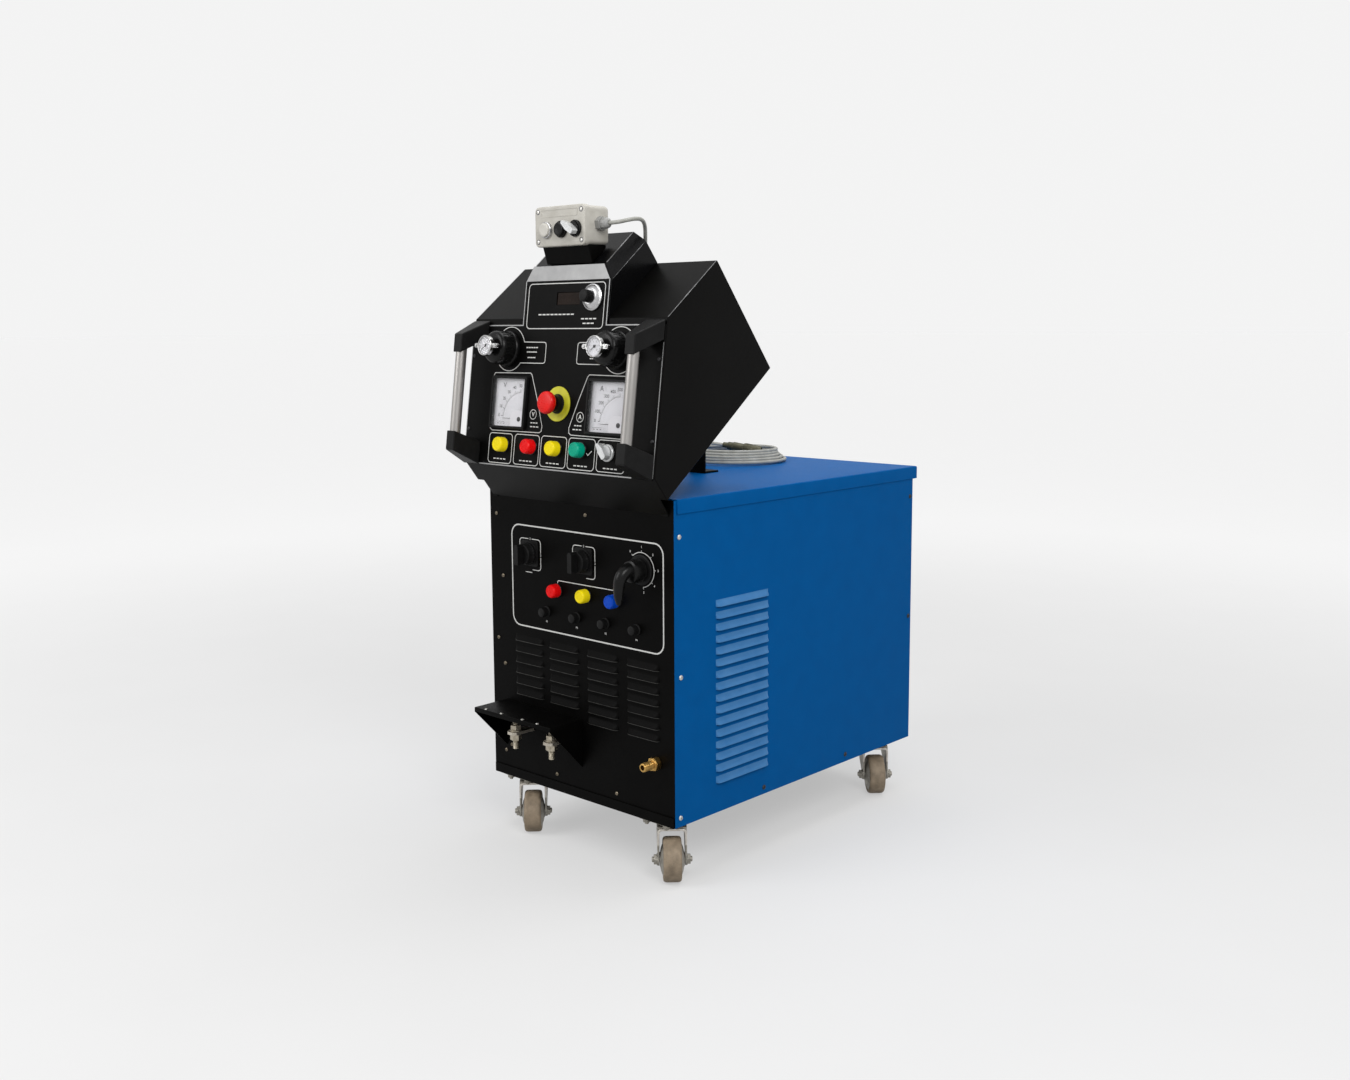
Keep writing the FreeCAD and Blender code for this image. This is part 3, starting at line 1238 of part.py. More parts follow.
def pendant_button(x):
    inner = PEND_KEY_R - PEND_KEY_RIM - FACE_GAP
    low = PEND_KEY_TRAVEL + FACE_GAP
    cap = turned([(0, low), (inner, low), (inner, PEND_KEY_OUT - 1.5), (inner - 1.5, PEND_KEY_OUT),
                  (0, PEND_KEY_OUT)])
    stem = rod(SHAFT_R, -PEND_WALL - 3, low)
    return placed(moved(joined([cap, stem]), x, PEND_LOW + PEND_KEY_UP), PENDANT_FACE)


def pendant_selector():
    inner = PEND_KEY_R - PEND_KEY_RIM - FACE_GAP
    cap = rod(inner, FACE_GAP, PEND_COLLAR + 3)
    lever = prism([(-4.5, -10), (4.5, -10), (5.5, 4), (2, 19), (-2, 19), (-5.5, 4)], PEND_COLLAR,
                  PEND_COLLAR + 13)
    lever = turned_about(lever, 55)
    body = joined([cap, lever, rod(SHAFT_R, -PEND_WALL - 3, FACE_GAP)])
    return placed(moved(body, PEND_TURN_X, PEND_LOW + PEND_KEY_UP), PENDANT_FACE)


# Cord, as points (x, y, z) from the gland to the coil on the lid

def behind(x, s, lift):
    """A point behind the console: s down its sloping back from the top edge, lift clear of it."""
    y, z = along(along(TOP_REAR, FALL, s), RISE, lift)
    return (x, y, z)


LID_CORD_Z = LID_Z + CORD_D / 2 + SOFT_GAP

CORD_ROUTE = [
    (gland_end(), GLAND_Y, gland_z()),
    (gland_end() + 19.0, GLAND_Y, gland_z()),
    (123.0, 17.0, 1157.0),
    (127.0, 36.0, 1160.0),
    (119.0, 57.0, 1158.0),
    (107.0, 74.0, 1149.0),
    (96.0, 86.0, 1134.0),
    (85.0, 97.0, 1117.0),
    behind(73.0, -8.0, 10.0),
    behind(57.0, 32.0, 9.0),
    behind(36.0, 80.0, 9.0),
    behind(2.0, 126.0, 9.0),
    behind(-42.0, 160.0, 9.0),
    behind(-86.0, 192.0, 10.0),
    behind(-112.0, 236.0, 12.0),
    (-124.0, 268.0, 868.0),
    (-134.0, 272.0, 800.0),
    (-150.0, 281.0, 742.0),
    (-172.0, 304.0, 703.0),
    (-197.0, 345.0, LID_CORD_Z),
    (-219.0, 402.0, LID_CORD_Z),
    (-231.0, 464.0, LID_CORD_Z),
    (-233.0, 524.0, LID_CORD_Z),
]

TAIL_ROUTE = [(-207.0, 562.0, 716.0), (-181.0, 574.0, 724.0), (-150.0, 590.0, 718.0)]


def bent_path(points):
    """Straight runs joined by tangent arcs, each arc as large as its two runs allow."""
    corners = [V(*p) for p in points]
    edges = []
    radii = []
    start = corners[0]
    for i in range(1, len(corners) - 1):
        before = corners[i] - corners[i - 1]
        after = corners[i + 1] - corners[i]
        turn = before.getAngle(after)
        tangent = 0.45 * min(before.Length, after.Length)
        radius = tangent / math.tan(turn / 2)
        radii.append(radius)
        d1 = V(before).normalize()
        d2 = V(after).normalize()
        a = corners[i] - d1 * tangent
        b = corners[i] + d2 * tangent
        inward = (d2 - d1).normalize()
        middle = corners[i] + inward * (radius / math.cos(turn / 2) - radius)
        edges.append(Part.LineSegment(start, a).toShape())
        edges.append(Part.Arc(a, middle, b).toShape())
        start = b
    edges.append(Part.LineSegment(start, corners[-1]).toShape())
    return Part.Wire(edges), radii


def tube(points, radius):
    path = bent_path([tuple(p) for p in points])[0]
    first = V(*points[0])
    section = Part.makePolygon([V(x, y, 0) for x, y in polygon(radius) + polygon(radius)[:1]])
    section.Placement = FreeCAD.Placement(first, FreeCAD.Rotation(V(0, 0, 1), V(*points[1]) - first))
    return path.makePipeShell([section], True, False)


def cord_report(name, points):
    path, radii = bent_path(points)
    solid = tube(points, CORD_D / 2)
    sides = corners_of(CORD_D / 2)
    area = sides / 2 * math.sin(2 * math.pi / sides) * (CORD_D / 2) ** 2
    expected = area * path.Length
    print(name, "length %.0f" % path.Length, "volume ratio %.4f" % (solid.Volume / expected),
          "radii", " ".join("%.0f" % r for r in radii))


def pendant_cord():
    return group([tube(CORD_ROUTE, CORD_D / 2), tube(TAIL_ROUTE, CORD_D / 2)])


def cord_coil():
    low = LID_Z + SOFT_GAP
    return ring(COIL_OUT, COIL_IN, low, low + COIL_H, COIL_X, COIL_Y)


def cord_connector():
    """Round multi-pole connector: cable clamp, knurled body and open coupling ring."""
    start = V(*TAIL_ROUTE[-1])
    axis = (start - V(*TAIL_ROUTE[-2])).normalize()
    clamp = cone(CORD_D / 2 + 3, PLUG_R - 3, 0, 14)
    neck = rod(PLUG_R - 3, 14, 30)
    body = rod(PLUG_R - 1, 30, 48)
    ring_end = ring(PLUG_R, PLUG_R - 2, 48, PLUG_LEN)
    insert = rod(PLUG_R - 4, 48, PLUG_LEN - 8)
    piece = joined([clamp, neck, body, ring_end, insert])
    piece.Placement = FreeCAD.Placement(start, FreeCAD.Rotation(V(0, 0, 1), axis))
    return piece


# Assembly: every node by name, moved so that the object without its cord is centred over the origin.

CORD_NODES = ("pendant_cord", "cord_coil", "cord_connector")


def build():
    nodes = {
        "base_frame": base_frame(),
        "front_panel": front_panel(),
        "right_side_panel": side_panel(),
        "left_side_panel": mirrored(side_panel()),
        "top_cover": top_cover(),
        "rear_panel": rear_panel(),
        "fasteners": fasteners(),
        "caster_plates": caster_plates(),
        "switch_plates": switch_plates(),
        "range_switch_knob": range_switch_knob(),
        "fine_switch_knob": fine_switch_knob(),
        "main_switch_handle": main_switch_handle(),
        "fuse_holders": fuse_holders(),
        "terminal_hood": terminal_hood(),
        "output_busbars": output_busbars(),
        "air_fitting": air_fitting(),
        "main_transformer": main_transformer(),
        "rectifier_stack": rectifier_stack(),
        "fan_motor": fan_motor(),
        "fan_blades": fan_blades(),
        "console_shell": console_shell(),
        "console_front_panel": console_front_panel(),
        "display_housing": display_housing(),
        "handle_brackets": handle_brackets(),
        "handle_tubes": handle_tubes(),
        "console_brackets": console_brackets(),
        "meter_cases": meter_cases(),
        "voltmeter_pointer": meter_pointer(-METER_X),
        "ammeter_pointer": meter_pointer(METER_X),
        "instrument_windows": instrument_windows(),
        "air_regulators": air_regulators(),
        "left_regulator_knob": regulator_knob(-REG_X),
        "right_regulator_knob": regulator_knob(REG_X),
        "left_gauge_pointer": gauge_pointer(-REG_X),
        "right_gauge_pointer": gauge_pointer(REG_X),
        "estop_collar": estop_collar(),
        "estop_button": estop_button(),
        "selector_knob": selector_knob(),
        "dial_knob": dial_knob(),
        "pendant_lid": pendant_lid(),
        "pendant_base": pendant_base(),
        "pendant_gland": pendant_gland(),
        "pendant_white_button": pendant_button(PEND_WHITE_X),
        "pendant_black_button": pendant_button(PEND_BLACK_X),
        "pendant_selector": pendant_selector(),
        "pendant_cord": pendant_cord(),
        "cord_coil": cord_coil(),
        "cord_connector": cord_connector(),
    }
    for colour in ("red", "yellow", "green", "blue"):
        nodes[colour + ("_lamp" if colour in ("green", "blue") else "_lamps")] = lamps(colour)
    corners = ("front_left", "front_right", "rear_left", "rear_right")
    for corner, (x, y) in zip(corners, castor_places()):
        nodes[corner + "_caster_fork"] = caster_fork(x, y)
        nodes[corner + "_caster_wheel"] = caster_wheel(x, y)
    return nodes


def centring(nodes):
    box = FreeCAD.BoundBox()
    for name, shape in nodes.items():
        if name not in CORD_NODES:
            box.add(shape.optimalBoundingBox(True, False))
    return V(-(box.XMin + box.XMax) / 2, -(box.YMin + box.YMax) / 2, -box.ZMin)


NODES = build()
SHIFT = centring(NODES)
for name, shape in NODES.items():
    moved(shape, SHIFT.x, SHIFT.y, SHIFT.z).exportStep("parts/" + name + ".step")
cord_report("pendant cord", CORD_ROUTE)
cord_report("connector tail", TAIL_ROUTE)
print("nodes", len(NODES), "shift", SHIFT)
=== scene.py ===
import math

import bmesh
import bpy
from mathutils import Matrix, Vector


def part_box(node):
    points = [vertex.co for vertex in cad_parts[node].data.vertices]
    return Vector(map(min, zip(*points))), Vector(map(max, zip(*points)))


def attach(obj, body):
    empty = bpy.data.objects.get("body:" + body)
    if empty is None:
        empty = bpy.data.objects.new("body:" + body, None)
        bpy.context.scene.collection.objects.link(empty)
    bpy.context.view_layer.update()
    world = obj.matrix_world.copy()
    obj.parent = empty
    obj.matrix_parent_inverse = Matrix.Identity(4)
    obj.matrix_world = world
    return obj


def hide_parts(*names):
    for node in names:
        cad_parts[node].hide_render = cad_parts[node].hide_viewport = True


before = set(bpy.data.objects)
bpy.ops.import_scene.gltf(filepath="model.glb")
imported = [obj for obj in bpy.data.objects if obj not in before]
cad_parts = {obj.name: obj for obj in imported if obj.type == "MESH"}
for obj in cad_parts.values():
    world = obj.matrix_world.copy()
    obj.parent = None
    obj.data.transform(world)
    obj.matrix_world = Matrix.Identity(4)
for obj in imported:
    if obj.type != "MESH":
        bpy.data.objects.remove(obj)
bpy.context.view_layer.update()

# The camera stands at chest height to the right of an arc spray power source and looks at its front right
# corner. The scene measures in metres, x to the right, y to the back and z up from the floor. Sizes are
# written in mm.
cabinet_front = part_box("right_side_panel")[0].y
MM = 0.001
CAMERA_AT = (1797.7, -1687.4, 976.6)
CAMERA_ROUND = 42.696
CAMERA_DOWN = 7.255
CAMERA_ROLL = -0.277


def spot(x, y, z):
    """A point in mm from the foot of the cabinet's front, as a point of the scene."""
    return Vector((x * MM, y * MM + cabinet_front, z * MM))


def placed(name, data):
    item = bpy.data.objects.new(name, data)
    bpy.context.scene.collection.objects.link(item)
    return item


def rotation(angle, axis="Z"):
    return Matrix.Rotation(math.radians(angle), 4, axis)


view = bpy.data.cameras.new("camera")
view.lens = 36.67
view.shift_x = 0.0007
view.shift_y = -0.0289
view.clip_start = 0.05
camera = placed("camera", view)
camera.matrix_world = (Matrix.Translation(spot(*CAMERA_AT)) @ rotation(CAMERA_ROUND)
                       @ rotation(90 - CAMERA_DOWN, "X") @ rotation(CAMERA_ROLL))
bpy.context.scene.camera = camera


# The pendant's cord is a limp grey seven millimetre cable. It leaves the gland, bends over the back of the
# console, runs down to the lid and lies there in five loose turns. A cable is extruded, so its skin is even
# and slightly matt.
def fed(tree, node, inputs):
    """Set a shader node's inputs, or wire them to the outputs of others."""
    for key, value in inputs.items():
        if isinstance(value, bpy.types.NodeSocket):
            tree.links.new(value, node.inputs[key])
        else:
            node.inputs[key].default_value = value


def worked(tree, kind, inputs, out=0, **settings):
    """One output of a new shader node."""
    node = tree.nodes.new("ShaderNode" + kind)
    for key, value in settings.items():
        setattr(node, key, value)
    fed(tree, node, inputs)
    return node.outputs[out]


grain_group = bpy.data.node_groups.new("surface_grain", "ShaderNodeTree")
for label, way in (("Scale", "INPUT"), ("Stretch", "INPUT"), ("Value", "OUTPUT")):
    grain_group.interface.new_socket(name=label, in_out=way, socket_type="NodeSocketFloat")
given = grain_group.nodes.new("NodeGroupInput").outputs
stretches = worked(grain_group, "CombineXYZ", {"X": 1.0, "Y": 1.0, "Z": given["Stretch"]})
position = worked(grain_group, "TexCoord", {}, "Object")
stretched = worked(grain_group, "VectorMath", {0: position, 1: stretches}, operation="MULTIPLY")
noise = worked(grain_group, "TexNoise", {"Vector": stretched, "Scale": given["Scale"], "Detail": 5.0})
spread = worked(grain_group, "MapRange", {"Value": noise, "From Min": 0.3, "From Max": 0.7})
grain_group.links.new(spread, grain_group.nodes.new("NodeGroupOutput").inputs[0])


def grain(tree, scale, stretch=1.0):
    return worked(tree, "Group", {"Scale": scale, "Stretch": stretch}, node_tree=grain_group)


def colour(tree, factor, first, second):
    return worked(tree, "Mix", {0: factor, 6: (*first, 1.0), 7: (*second, 1.0)}, 2, data_type="RGBA")


def between(tree, factor, low, high):
    return worked(tree, "MapRange", {"Value": factor, "To Min": low, "To Max": high})


def blank(name):
    material = bpy.data.materials.new(name)
    material.use_nodes = True
    return material, material.node_tree, material.node_tree.nodes["Principled BSDF"]


def finish(name, light, dark, blotch, rough, skin, depth, metallic=0.0, gloss=0.5, stretch=1.0):
    """Two shades in blotches, on a fine skin of some roughness and depth. Grains are counted per metre."""
    material, tree, shader = blank(name)
    patches = grain(tree, blotch, stretch)
    fine = grain(tree, skin, stretch)
    relief = worked(tree, "Bump", {"Strength": 0.6, "Distance": depth, "Height": fine})
    fed(tree, shader, {"Base Color": colour(tree, patches, light, dark), "Metallic": metallic,
                       "Roughness": between(tree, fine, *rough), "Normal": relief,
                       "Specular IOR Level": gloss})
    return material


cord_skin = finish("cord_skin", (0.40, 0.40, 0.37), (0.30, 0.30, 0.27), 60.0, (0.45, 0.6), 900.0, 0.0002)
SLANT = math.radians(38)
PEAK = (104.9, 1087.4)
CORD_EXIT = (87.5, 6, 1152.94)
CORD_TAIL = ((-207, 562, 716), (-181, 574, 724), (-150, 590, 718))
CORD_ON_LID = 689.8
COIL_CENTRE = (-118, 572)
COIL_WIDE = 118
COIL_NARROW = 96
COIL_TURNS = 5
COIL_PITCH = 5.4
COIL_STEPS = 14


def polar(radius, angle, x=0.0, y=0.0):
    return x + radius * math.cos(angle), y + radius * math.sin(angle)


def behind(x, slide, lift):
    """A point at the console's back: slide down its slope from the peak, and lift clear of it."""
    return (x, PEAK[0] + math.sin(SLANT) * slide + math.cos(SLANT) * lift,
            PEAK[1] - math.cos(SLANT) * slide + math.sin(SLANT) * lift)


def tube(name, points, radius, rounds, steps, widths=None):
    """A round tube along a smooth line by the points."""
    curve = bpy.data.curves.new(name, "CURVE")
    curve.dimensions = "3D"
    curve.bevel_depth = radius
    curve.bevel_resolution = rounds
    curve.resolution_u = steps
    curve.use_fill_caps = True
    line = curve.splines.new("NURBS")
    line.points.add(len(points) - 1)
    for point, at, width in zip(line.points, points, widths or [1.0] * len(points)):
        point.co = (*at, 1.0)
        point.radius = width
    line.order_u = 3
    line.use_endpoint_u = True
    return curve


cord_points = [CORD_EXIT, (106.5, 6, 1152.94), (123, 17, 1157), (127, 36, 1160), (119, 57, 1158),
               (107, 74, 1149), (96, 86, 1134), (85, 97, 1117), behind(73, -8, 10), behind(57, 32, 9),
               behind(36, 80, 9), behind(2, 126, 9), behind(-42, 160, 9), behind(-86, 192, 10),
               behind(-112, 236, 12), (-124, 268, 868), (-134, 272, 800), (-150, 281, 742), (-172, 304, 703),
               (-197, 345, CORD_ON_LID), (-219, 402, CORD_ON_LID), (-231, 464, CORD_ON_LID),
               (-233, 524, CORD_ON_LID)]
for step in range(COIL_TURNS * COIL_STEPS):
    turn = step / COIL_STEPS
    angle = math.pi - 2 * math.pi * turn
    wobble = 3.0 * math.sin(2.3 * turn * math.pi) + 1.4 * math.sin(angle + 1.2 * turn)
    radius = COIL_WIDE + (COIL_NARROW - COIL_WIDE) * turn / COIL_TURNS + wobble
    cord_points.append((*polar(radius, angle, *COIL_CENTRE), CORD_ON_LID + COIL_PITCH * turn))
cord_points += CORD_TAIL
cord_curve = tube("pendant_cord_run", [spot(*at) for at in cord_points], 3.5 * MM, 5, 6)
cord_curve.materials.append(cord_skin)
cord = placed("pendant_cord_run", cord_curve)
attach(cord, "root")
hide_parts("pendant_cord", "cord_coil")


# The cord ends in a screwed cable connector of olive plated metal. It has a knurled coupling ring, a body and
# a clamp on the cable.
def circle(radius, count, x=0.0, y=0.0, start=0.0):
    return [polar(radius, start + 2 * math.pi * i / count, x, y) for i in range(count)]


def turned(bm, profile, x=0.0, y=0.0, steps=48):
    """A lathe shape about z from pairs of radius and height, with flat ends."""
    rings = [[bm.verts.new((*at, height)) for at in (circle(radius, steps, x, y) if radius else [(x, y)])]
             for radius, height in profile]
    for low, high in zip(rings, rings[1:]):
        for i in range(steps):
            j = (i + 1) % steps
            corners = dict.fromkeys((low[i % len(low)], low[j % len(low)], high[j % len(high)],
                                     high[i % len(high)]))
            if len(corners) > 2:
                bm.faces.new(corners)
    for end in (rings[0][::-1], rings[-1]):
        if len(end) > 1:
            bm.faces.new(end)


def rounded_edges(piece, radius, rounds=2, sharp=32.0):
    soft = piece.modifiers.new("rounded edges", "BEVEL")
    soft.width = radius * MM
    soft.segments = rounds
    soft.limit_method = "ANGLE"
    soft.angle_limit = math.radians(sharp)
    return soft


def made(name, bm, place, material, slot, node=None, body="root", bevel=0.0, rounds=2, sharp=32.0,
         solid=True):
    """A finished piece, which stands for the CAD node and rides on the body."""
    mesh = bpy.data.meshes.new(name)
    if solid:
        bmesh.ops.recalc_face_normals(bm, faces=bm.faces)
    bm.to_mesh(mesh)
    bm.free()
    mesh.transform(place)
    if place.is_negative:
        mesh.flip_normals()
    mesh.shade_smooth()
    mesh.set_sharp_from_angle(angle=math.radians(sharp))
    mesh.materials.append(material)
    piece = placed(name, mesh)
    if bevel:
        rounded_edges(piece, bevel, rounds, sharp).harden_normals = True
    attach(piece, body)
    if node:
        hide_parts(node)
    return piece


olive_plate = finish("olive_plate", (0.085, 0.08, 0.05), (0.05, 0.048, 0.03), 90.0, (0.32, 0.5), 500.0,
                     0.0002, 0.6)
tail_end = spot(*CORD_TAIL[2])
tail_way = tail_end - spot(*CORD_TAIL[1])
connector_place = (Matrix.Translation(tail_end) @ tail_way.to_track_quat("Z", "X").to_matrix().to_4x4()
                   @ Matrix.Scale(MM, 4))
KNURLS = 36
bm = bmesh.new()
turned(bm, [(4.2, -6), (6.0, -5), (6.5, 4), (8.5, 6), (9.0, 16), (10.5, 18), (10.5, 40),
            (12.3, 42), (12.5, 44), (12.5, 60), (12.0, 61.5), (12.5, 63), (12.5, 77), (11.5, 80),
            (9.6, 80), (9.6, 72), (0, 72)])
for i in range(KNURLS):
    knurl = Matrix.Translation((12.3, 0, 52)) @ Matrix.Diagonal((1.1, 1.0, 14, 1))
    bmesh.ops.create_cube(bm, size=1.0, matrix=rotation(i * 360 / KNURLS) @ knurl)
connector = made("cord_connector_body", bm, connector_place, olive_plate, "connector_olive",
                 "cord_connector", bevel=0.25)


# The cabinet is folded sheet steel on a shallow tray. The front is coated satin black, the sides and the lid
# are coated blue with a fine texture. Louvres are pressed out of the same sheet, with rounded ends.
black_coat = finish("black_coat", (0.0020, 0.0019, 0.0018), (0.0012, 0.0011, 0.0010), 30.0, (0.34, 0.48),
                    1400.0, 0.00012, gloss=0.035)
blue_coat = finish("blue_coat", (0.0001, 0.102, 0.345), (0.0001, 0.094, 0.32), 25.0, (0.42, 0.55), 1100.0,
                   0.0002, gloss=0.03)
RIGHT = (1, 0, 0)
BACK = (0, 1, 0)
UP = (0, 0, 1)
FRONT = (0, -1, 0)


def facing(x_way, y_way, z_way):
    return Matrix((x_way, y_way, z_way)).transposed().to_4x4()


def drawing(origin, *ways):
    """A place to draw in mm: where its origin is, and which way its x, y and z point."""
    return Matrix.Translation(origin) @ facing(*ways) @ Matrix.Scale(MM, 4)


BUILD = drawing(spot(0, 0, 0), RIGHT, BACK, UP)
CABINET = drawing(spot(0, 0, 0), RIGHT, UP, FRONT)
RIGHT_SIDE = drawing(spot(240, 0, 0), BACK, UP, RIGHT)
SIDES = {"right": RIGHT_SIDE, "left": Matrix.Scale(-1, 4, RIGHT) @ RIGHT_SIDE}
LOUVRE_END = 9.0
LOUVRE_STEPS = 14
LOUVRE_ROWS = 7


def along_louvre(length):
    """Distances along a louvre, closer together towards its ends."""
    return [length * (0.5 - 0.5 * math.cos(math.pi * i / LOUVRE_STEPS)) for i in range(LOUVRE_STEPS + 1)]


def bulge(at, length, out):
    """How far a louvre's mouth stands out at a distance along it."""
    end = min(1.0, min(at, length - at) / LOUVRE_END)
    return out * math.sqrt(max(0.0, 1 - (1 - end) ** 2))


def patched(bm, xs, ys, wanted):
    """Flat faces between the lines xs and ys, where wanted says so of a face's middle."""
    held = {}
    for xa, xb in zip(xs, xs[1:]):
        for ya, yb in zip(ys, ys[1:]):
            if wanted((xa + xb) / 2, (ya + yb) / 2):
                corners = ((xa, ya), (xb, ya), (xb, yb), (xa, yb))
                for corner in corners:
                    if corner not in held:
                        held[corner] = bm.verts.new((*corner, 0))
                bm.faces.new([held[corner] for corner in corners])
    return held


def louvred_sheet(bm, width, height, louvres, length, tall, out):
    """A sheet with pressed louvres in the second material, each given by the left end of its mouth."""
    taken = [(x, y, x + length, y + tall) for x, y in louvres]
    xs = sorted({*width, *(x for area in taken for x in area[::2])})
    ys = sorted({*height, *(y for area in taken for y in area[1::2])})
    patched(bm, xs, ys, lambda x, y: not any(a[0] < x < a[2] and a[1] < y < a[3] for a in taken))
    for left, mouth in louvres:
        rows = []
        for j in range(LOUVRE_ROWS + 1):
            up = j / LOUVRE_ROWS
            fall = 1 - (up * up * (3 - 2 * up)) ** 0.9
            rows.append([bm.verts.new((left + at, mouth + tall * up, bulge(at, length, out) * fall))
                         for at in along_louvre(length)])
        for low, high in zip(rows, rows[1:]):
            for i in range(LOUVRE_STEPS):
                bm.faces.new((low[i], low[i + 1], high[i + 1], high[i])).material_index = 1


def sheet(name, bm, place, material, slot, node, thick=1.6, pressed=None):
    piece = made(name, bm, place, material, slot, node, sharp=50.0, solid=False)
    if pressed:
        piece.data.materials.append(pressed)
    uses = {}
    for face in piece.data.polygons:
        for key in face.edge_keys:
            uses[key] = uses.get(key, 0) + 1
    for edge in piece.data.edges:
        if uses[edge.key] == 1:
            edge.use_edge_sharp = True
    skin = piece.modifiers.new("sheet", "SOLIDIFY")
    skin.thickness = thick * MM
    skin.offset = -1.0


def joined(bm, rings, again=False, capped=True):
    """Join rings of points, each to the next, by a skin. Again joins the last to the first.

    A skin without caps leaves out the faces that have no area.
    """
    rings = [[bm.verts.new(point) for point in ring] for ring in rings]
    for low, high in zip(rings, rings[1:] + rings[:again]):
        for i in range(len(low)):
            j = (i + 1) % len(low)
            if capped or low[i].co != low[j].co or high[i].co != high[j].co:
                bm.faces.new((low[i], low[j], high[j], high[i]))
    if capped and not again:
        bm.faces.new(rings[-1])
        bm.faces.new(reversed(rings[0]))
    return rings


def prism(bm, outline, low, high):
    joined(bm, [[(x, y, level) for x, y in outline] for level in (low, high)])


HOOD_X = (-205, 8)
HOOD_TOP = 261
FRONT_LOUVRE = 77
FRONT_OUT = 6.0
LIP = ((-0.1, -0.3), (-0.1, 0.12), (0.8, 0.12), (0.8, -0.3))
front_places = [(x, 384 - row * 20.9) for x in (-171, -75, 26, 127) for row in range(7)
                if x > HOOD_X[1] or 384 - row * 20.9 > HOOD_TOP]
bm = bmesh.new()
louvred_sheet(bm, (-239.6, 239.6), (112, 684), front_places, FRONT_LOUVRE, 13.0, FRONT_OUT)
sheet("front_sheet", bm, CABINET, black_coat, "console_black", "front_panel", pressed=black_coat)

# Thin strips along the front louvres' lips are a painted highlight, lighter and glossier than the black coat.
painted_lip_highlight = finish("painted_lip_highlight", (0.050, 0.048, 0.044), (0.012, 0.012, 0.011), 90.0, (0.3, 0.5), 900.0,
                   0.0001, gloss=0.3)
bm = bmesh.new()
for x, y in front_places:
    joined(bm, [[(x + at, y + up, bulge(at, FRONT_LOUVRE, FRONT_OUT) + lift) for up, lift in LIP]
                for at in along_louvre(FRONT_LOUVRE)])
made("front_louvre_lip_highlights", bm, CABINET, painted_lip_highlight, "console_black")

# Painted light on the side louvres: a paler blue highlight on their crowns, a thin dark shadow strip under
# each mouth.
blue_crown_highlight = finish("blue_crown_highlight", (0.060, 0.215, 0.47), (0.035, 0.175, 0.42), 25.0, (0.35, 0.5), 1100.0,
                    0.0002, gloss=0.2)
# A dark blue for the painted shadow strips laid under the louvre mouths.
mouth_shadow_paint = finish("mouth_shadow_paint", (0.0, 0.018, 0.075), (0.0, 0.03, 0.11), 60.0, (0.5, 0.7), 900.0, 0.0001,
                    gloss=0.02)
SIDE_LOUVRE = 146
side_places = [(108, 486 - row * 21.4) for row in range(16)]
for side, place in SIDES.items():
    bm = bmesh.new()
    louvred_sheet(bm, (0.3, 731), (110, 684), side_places, SIDE_LOUVRE, 12.0, 6.5)
    sheet(f"{side}_side_sheet", bm, place, blue_coat, "cabinet_blue", f"{side}_side_panel",
          pressed=blue_crown_highlight)
    bm = bmesh.new()
    for y, z in side_places:
        far = y + SIDE_LOUVRE
        prism(bm, [(y + 5, z - 2.2), (far - 5, z - 2.2), (far, z - 0.2), (y, z - 0.2)], -0.2, 0.15)
    made(f"{side}_louvre_shadow", bm, place, mouth_shadow_paint, "cabinet_blue")


# The lid is one sheet, folded down along its sides and its back over the tops of the side sheets.
def oblong(x0, x1, y0, y1):
    return [(x0, y0), (x1, y0), (x1, y1), (x0, y1)]


LID = oblong(-242, 242, 7, 743)
LID_EDGE = 660.5
LID_TOP = 686
bm = bmesh.new()
low, high = [[bm.verts.new((x, y, z)) for x, y in LID] for z in (LID_EDGE, LID_TOP)]
bm.faces.new(high)
for i in (1, 2, 3):
    j = (i + 1) % 4
    bm.faces.new((low[i], low[j], high[j], high[i]))
folds = [edge for edge in bm.edges if all(end.co.z == LID_TOP for end in edge.verts)
         and any(end.co.y > LID[0][1] for end in edge.verts)]
bmesh.ops.bevel(bm, geom=folds, offset=3.0, segments=4, affect="EDGES", profile=0.5)
sheet("lid_sheet", bm, BUILD, blue_coat, "cabinet_blue", "top_cover", thick=2.0)


def kept(node, material, bevel):
    """A CAD piece shown as it is, with a finish and rounded edges."""
    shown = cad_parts[node]
    shown.data.materials.clear()
    shown.data.materials.append(material)
    shown.modifiers.new("one skin", "WELD").merge_threshold = 0.00001
    rounded_edges(shown, bevel)


kept("rear_panel", blue_coat, 0.5)
kept("base_frame", black_coat, 0.6)


# Screws are zinc plated pan heads with a small round recess. The bolts under the tray and the clamp nuts of
# the studs are hexagons of the same steel.
zinc_plate = finish("zinc_plate", (0.62, 0.61, 0.58), (0.42, 0.41, 0.38), 150.0, (0.28, 0.5), 700.0, 0.0002,
                    1.0)
dull_zinc = finish("dull_zinc", (0.24, 0.20, 0.15), (0.10, 0.085, 0.06), 150.0, (0.3, 0.5), 700.0, 0.0002,
                   0.9)
dark_zinc = finish("dark_zinc", (0.05, 0.05, 0.055), (0.03, 0.03, 0.03), 150.0, (0.35, 0.5), 700.0, 0.0002,
                   0.8)
REAR = drawing(spot(0, 731, 0), (-1, 0, 0), UP, BACK)
SCREW_DOME = ((0, -0.4), (0, 0.5), (0.5, 1.3), (1.6, 2.0), (3.0, 2.4))


def hexagon(bm, flats, low, high, x=0.0, y=0.0, turn=0.0):
    prism(bm, circle(flats / math.sqrt(3), 6, x, y, turn), low, high)


def screws(name, places, place, material, radius, node=None):
    bm = bmesh.new()
    for x, y in places:
        dome = [(radius - inset, level) for inset, level in SCREW_DOME]
        turned(bm, dome + [(2.0, 2.5), (1.5, 1.4), (0, 1.2)], x, y, 20)
    made(name, bm, place, material, "zinc", node)


